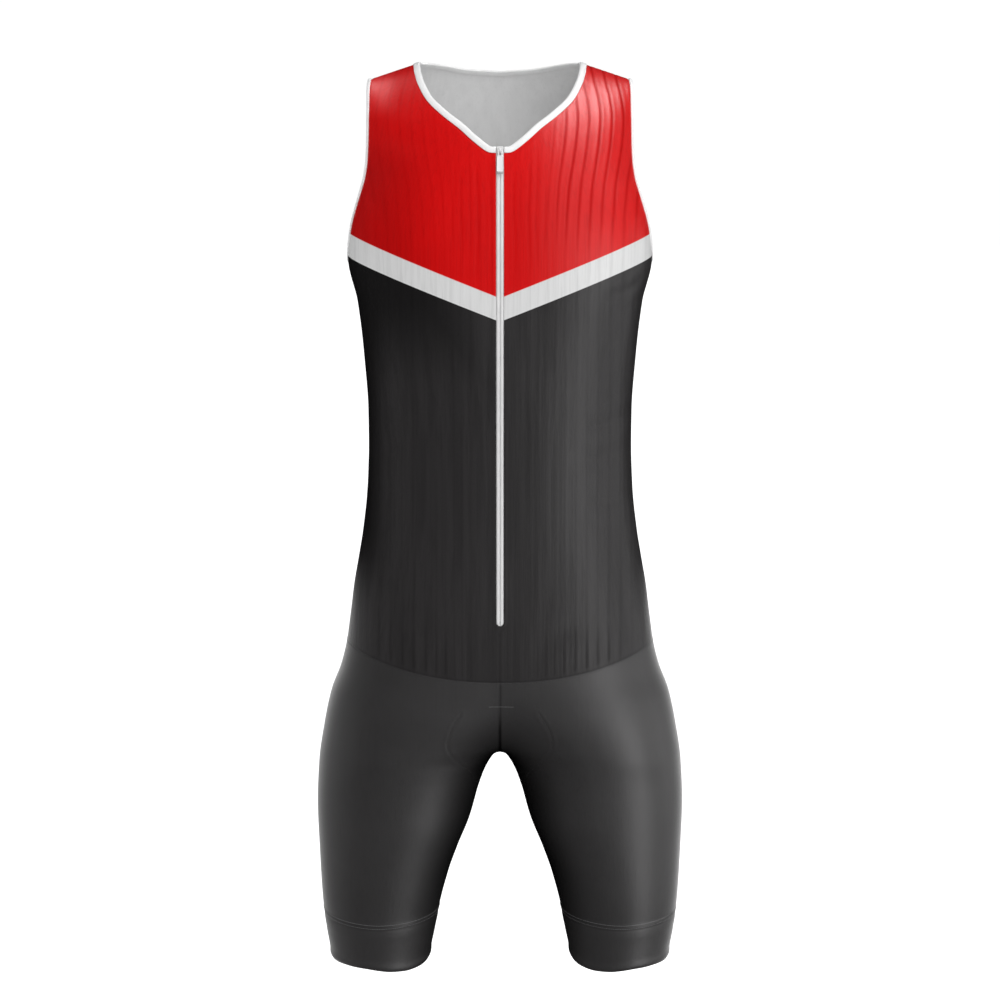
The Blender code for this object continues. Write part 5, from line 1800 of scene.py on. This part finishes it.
def build_pull():
    low, ax, up, out = (np.array(v) for v in zip_frame())
    mid_out = PIVOT_OUT - 0.00015
    half = PULL_THICK / 2

    def point(x, u, v):
        return low + ax * x + up * u + out * v

    # The grip: a rounded tab with a raised rim and a sunken middle, and below it a grey end.
    top, bottom = PULL_TOP - 0.0010, PULL_LOW + 0.0024

    def tab(t, b, w1, w2, r):
        right = [(0.0, t), (w1 - r, t), (w1 - 0.3 * r, t - 0.25 * r), (w1, t - r), ((w1 + w2) / 2, (t + b) / 2),
                 (w2, b + r), (w2 - 0.3 * r, b + 0.3 * r), (w2 - r, b), (0.0, b)]
        line = rounded([np.array(q) for q in right], 6)
        loop = np.concatenate([line, (line * [-1, 1])[-2:0:-1]])
        closed = np.concatenate([loop, loop[:1]])
        seg = np.concatenate([[0], np.cumsum(np.linalg.norm(np.diff(closed, axis=0), axis=1))])
        even = np.linspace(0, seg[-1], 72, endpoint=False)
        return np.stack([np.interp(even, seg, closed[:, k]) for k in range(2)], 1)

    def slab(name, t, b, w1, w2, r, layers, mat):
        loops = []
        for inset, high in layers:
            loops.append([point(x, u, mid_out + high) for x, u in tab(t - inset, b + inset, w1 - inset, w2 - inset, r)])
        return solid_of(name, loops, mat)

    layers = [(0.0012, -half + 0.00022), (0.0009, -half + 0.00018), (0.0006, -half + 0.00002), (0.00035, -half),
              (0.00012, -half + 0.00006), (0.0, -half + 0.00028), (0.0, half - 0.00028), (0.00012, half - 0.00006),
              (0.00035, half), (0.0006, half - 0.00002), (0.0009, half - 0.00018), (0.0012, half - 0.00022)]
    parts = [slab("pull_grip", top, bottom, 0.0031, 0.0033, 0.0012, layers, MATS["pull"])]
    layers = [(0.0004, -half + 0.00020), (0.0, -half + 0.00045), (0.0, half - 0.00045), (0.0004, half - 0.00020)]
    parts.append(slab("pull_end", bottom + 0.0010, PULL_LOW, 0.0030, 0.0030, 0.0009, layers, MATS["tip"]))
    # Two arms up to the cross bar.
    bar_u, bar_v = PIVOT_UP, PIVOT_OUT
    for side in (1, -1):
        loops = []
        path = [(top - 0.0012, mid_out), (top, mid_out), (-0.0004, mid_out), (0.0010, mid_out), (0.0020, mid_out + 0.0001), (bar_u, bar_v),
                (bar_u + 0.00050, bar_v)]
        line = rounded([np.array(q) for q in path], 5)
        for k, (u, v) in enumerate(line):
            end = 1.0 if k < len(line) - 3 else (0.9, 0.7, 0.45)[k - (len(line) - 3)]
            loop = []
            for a in np.linspace(0, 2 * math.pi, 14, endpoint=False):
                cx = math.copysign(abs(math.cos(a)) ** 0.7, math.cos(a)) * (ARM_OUT - ARM_IN) / 2
                cv = math.copysign(abs(math.sin(a)) ** 0.7, math.sin(a)) * half * 0.9 * end
                loop.append(point(side * ((ARM_IN + ARM_OUT) / 2 + cx), u, v + cv))
            loops.append(loop)
        parts.append(solid_of("pull_arm", loops, MATS["pull"]))
    loops = []
    for x in np.linspace(-0.0016, 0.0016, 9):
        loops.append([
            point(x, bar_u + BAR_RADIUS * math.cos(a), bar_v + BAR_RADIUS * math.sin(a))
            for a in np.linspace(0, 2 * math.pi, 20, endpoint=False)
        ])
    parts.append(solid_of("pull_bar", loops, MATS["pull"]))
    obj = joined("pull_grip_and_bar", parts)
    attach(obj, PULL_BODY)
    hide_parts("zip_pull")
    return obj


# ------------------------------------------------------------------ everything built
TACK_Z = -0.6510  # height of the stitched bar across the middle seam


def at_distance(grid, distances, value):
    """The point of every column at one distance from the edge that the distances start at."""
    rising = distances[0, 0] < distances[-1, 0]
    out = np.empty((grid.shape[1], 3))
    for j in range(grid.shape[1]):
        d = distances[:, j] if rising else distances[::-1, j]
        g = grid[:, j] if rising else grid[::-1, j]
        for k in range(3):
            out[j, k] = np.interp(value, d, g[:, k])
    return out


def stitches(name, line, lift, pitch, long, radius, mat, closed=False, arch=0.0001, rise=0.0):
    starts, ends, lifts = stitch_ends(np.asarray(line) + np.asarray(lift) * rise, lift, pitch, long, closed)
    obj = capsules(name, starts, ends, lifts, radius, mat, arch=arch, sides=5)
    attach(obj, BODY)
    return obj


for side, word in ((1, "right"), (-1, "left")):
    flip = np.array([float(side), 1.0, 1.0])
    # Front panel.
    panel, outer, n = build_front(side)

    # Leg, with its seams and the outline of the seat pad.
    leg, outer, n, turn = build_leg(side)
    _, _, top, low = edge_distances(outer, True)
    waist = (turn[0] > WAIST_PATHS[False][0, 0] - 1e-6) & (turn[0] < math.pi - WAIST_PATHS[True][0, 0] + 1e-6)
    waist_line = at_distance(outer, top, 0.0016)[waist] * flip
    waist_lift = at_distance(n, top, 0.0016)[waist] * flip
    waist_row = stitches(f"waist_stitches_{word}", waist_line, waist_lift, 0.0027, 0.0017, 0.00016, MATS["thread_dark"])
    # The cuff seam's grey stitches, partly painted highlight for the seam's lit edge.
    cuff_line = at_distance(outer, low, 0.0011) * flip
    cuff_lift = at_distance(n, low, 0.0011) * flip
    cuff_row = stitches(f"cuff_seam_stitches_{word}", cuff_line, cuff_lift, 0.0024, 0.0017, 0.00020,
                        MATS["thread_grey"], closed=True)
    pad, flat = pad_line()
    pad_up = np.array([p - [float(centre(p[2])), 0, p[2]] for p in pad])
    pad_up /= np.linalg.norm(pad_up, axis=1, keepdims=True)
    pad_row = stitches(f"pad_stitches_{word}", pad * flip, pad_up * flip, 0.0030, 0.0018, 0.00014, MATS["thread_dark"],
                       rise=CLOTH - 0.00005)
    if side > 0:
        # A short bar of stitches across the middle seam, above the pad.
        bar = np.array([front_point(abs(v), TACK_Z) * [np.sign(v) or 1.0, 1, 1] for v in np.linspace(-0.0118, 0.0138, 41)])
        bar_up = np.tile([0.0, -1.0, 0.05], (len(bar), 1))
        stitches("middle_bar_tack", bar, bar_up, 0.0016, 0.0014, 0.00018, MATS["thread_grey"],
                             rise=CLOTH + 0.00002)

    # Cuff.
    cuff, outer, n = build_cuff(side)
    _, _, top, low = edge_distances(outer, True)
    second = stitches(f"cuff_stitches_{word}", at_distance(outer, top, 0.0029) * flip, at_distance(n, top, 0.0029) * flip,
                      0.0024, 0.0016, 0.00016, MATS["thread_grey"], closed=True)

    # Armhole binding.
    band, line, lift, length = build_arm_binding(side)
    row = stitches(f"armhole_stitches_{word}", line, lift, 0.0026, 0.0018, 0.00017, MATS["thread_white"],
                   closed=True)

    # Half of the zip's tape.
    tape, mid, out, s = zip_tape(side)

zip_coil(mid, out, s)
back, outer, n = build_back()
band, line, lift, length = build_neck_binding()
row = stitches("neck_stitches", line, lift, 0.0026, 0.0018, 0.00017, MATS["thread_white"])
build_slider()
build_pull()

# ------------------------------------------------------------------ studio
def softbox(name, target, direction, distance, wide, high, radiance, tint=(1.0, 1.0, 1.0)):
    data = bpy.data.lights.new(name, "AREA")
    data.shape = "RECTANGLE"
    data.size, data.size_y = wide, high
    data.energy = math.pi * wide * high * radiance
    data.color = tint
    obj = bpy.data.objects.new(name, data)
    bpy.context.scene.collection.objects.link(obj)
    d = Vector(direction).normalized()
    obj.location = Vector(target) + d * distance
    obj.rotation_euler = d.to_track_quat("Z", "Y").to_euler()
    obj.visible_camera = False
    return obj


def only(obj, diffuse=True, glossy=True):
    obj.visible_diffuse, obj.visible_glossy = diffuse, glossy
    return obj


# Light that fills the cloth evenly, and narrower light that shows its sheen.
only(softbox("fill_front", (0.0, 0.0, -0.45), (0.27, -0.94, 0.21), 2.8, 2.4, 2.4, 1.72), glossy=False)
only(softbox("fill_above", (0.0, 0.0, -0.20), (0.30, -0.45, 0.84), 2.2, 1.4, 1.4, 2.75), glossy=False)
only(softbox("fill_right", (0.0, 0.0, -0.45), (0.85, -0.50, 0.10), 2.6, 1.2, 1.8, 1.35), glossy=False)
# Light from beside and a little behind, which brings out the fibres at the outline.
only(softbox("rim_left", (-0.10, 0.0, -0.69), (-0.93, 0.20, -0.22), 1.5, 0.9, 0.8, 4.8), glossy=False)
only(softbox("rim_right", (0.10, 0.0, -0.70), (0.95, 0.24, -0.10), 2.0, 1.2, 1.1, 1.2), glossy=False)
only(softbox("fill_left", (0.0, 0.0, -0.45), (-0.75, -0.60, -0.25), 2.4, 1.2, 1.2, 0.35), glossy=False)
only(softbox("key_above_right", (0.12, -0.03, -0.03), (0.47, -0.17, 0.89), 1.5, 0.9, 0.9, 22.0), diffuse=False)
only(softbox("key_low_right", (0.10, -0.06, -0.08), (0.54, -0.44, 0.72), 1.6, 0.5, 0.5, 9.0), diffuse=False)
only(softbox("sheen_above_left", (-0.13, 0.0, -0.03), (-0.57, 0.24, 0.83), 1.5, 0.8, 0.8, 4.0), diffuse=False)
only(softbox("sheen_right", (0.05, 0.0, -0.50), (0.74, -0.64, -0.20), 2.4, 1.15, 2.1, 4.8), diffuse=False)
only(softbox("sheen_side", (0.05, 0.0, -0.50), (0.985, 0.10, -0.10), 2.4, 1.7, 1.5, 1.5), diffuse=False)
only(softbox("sheen_front", (0.0, 0.0, -0.60), (0.34, -0.90, -0.26), 3.0, 1.3, 1.6, 0.4), diffuse=False)

world = bpy.data.worlds.new("studio")
bpy.context.scene.world = world
world.use_nodes = True
world.node_tree.nodes["Background"].inputs["Color"].default_value = (1.0, 1.0, 1.0, 1.0)
world.node_tree.nodes["Background"].inputs["Strength"].default_value = 0.42
world.cycles_visibility.glossy = False
bpy.context.scene.view_settings.view_transform = "Standard"


def stage_object(name, verts, faces, colour, strength):
    mesh = bpy.data.meshes.new(name)
    mesh.from_pydata(verts, [], faces)
    mat = bpy.data.materials.new(name)
    mat.use_nodes = True
    shader = mat.node_tree.nodes["Principled BSDF"]
    shader.inputs["Base Color"].default_value = (*colour, 1)
    shader.inputs["Roughness"].default_value = 0.9
    shader.inputs["Emission Color"].default_value = (1, 1, 1, 1)
    shader.inputs["Emission Strength"].default_value = strength
    mat.cycles.emission_sampling = "NONE"
    mesh.materials.append(mat)
    mesh.shade_smooth()
    obj = bpy.data.objects.new(name, mesh)
    bpy.context.scene.collection.objects.link(obj)
    obj.visible_diffuse = obj.visible_glossy = obj.visible_transmission = obj.visible_shadow = False
    return obj


rings, around = 24, 64
verts, faces = [], []
for i in range(rings + 1):
    a = math.pi * i / rings - math.pi / 2
    for k in range(around):
        b = 2 * math.pi * k / around
        verts.append((30 * math.cos(a) * math.cos(b), 30 * math.cos(a) * math.sin(b), 30 * math.sin(a)))
for i in range(rings):
    for k in range(around):
        m = (k + 1) % around
        faces.append((i * around + k, (i + 1) * around + k, (i + 1) * around + m, i * around + m))
stage_object("white_surround", verts, faces, (0.0, 0.0, 0.0), 1.02)
floor_z = -1.55
verts = [(0.0, 0.0, floor_z)]
faces = []
radii = [3.0 * (1.35**i) for i in range(8)]
for r in radii:
    for k in range(around):
        b = 2 * math.pi * k / around
        verts.append((r * math.cos(b), r * math.sin(b), floor_z))
for k in range(around):
    faces.append((0, 1 + k, 1 + (k + 1) % around))
for i in range(len(radii) - 1):
    for k in range(around):
        m = (k + 1) % around
        faces.append((1 + i * around + k, 1 + (i + 1) * around + k, 1 + (i + 1) * around + m, 1 + i * around + m))
stage_object("floor", verts, faces, (0.86, 0.86, 0.86), 1.0)
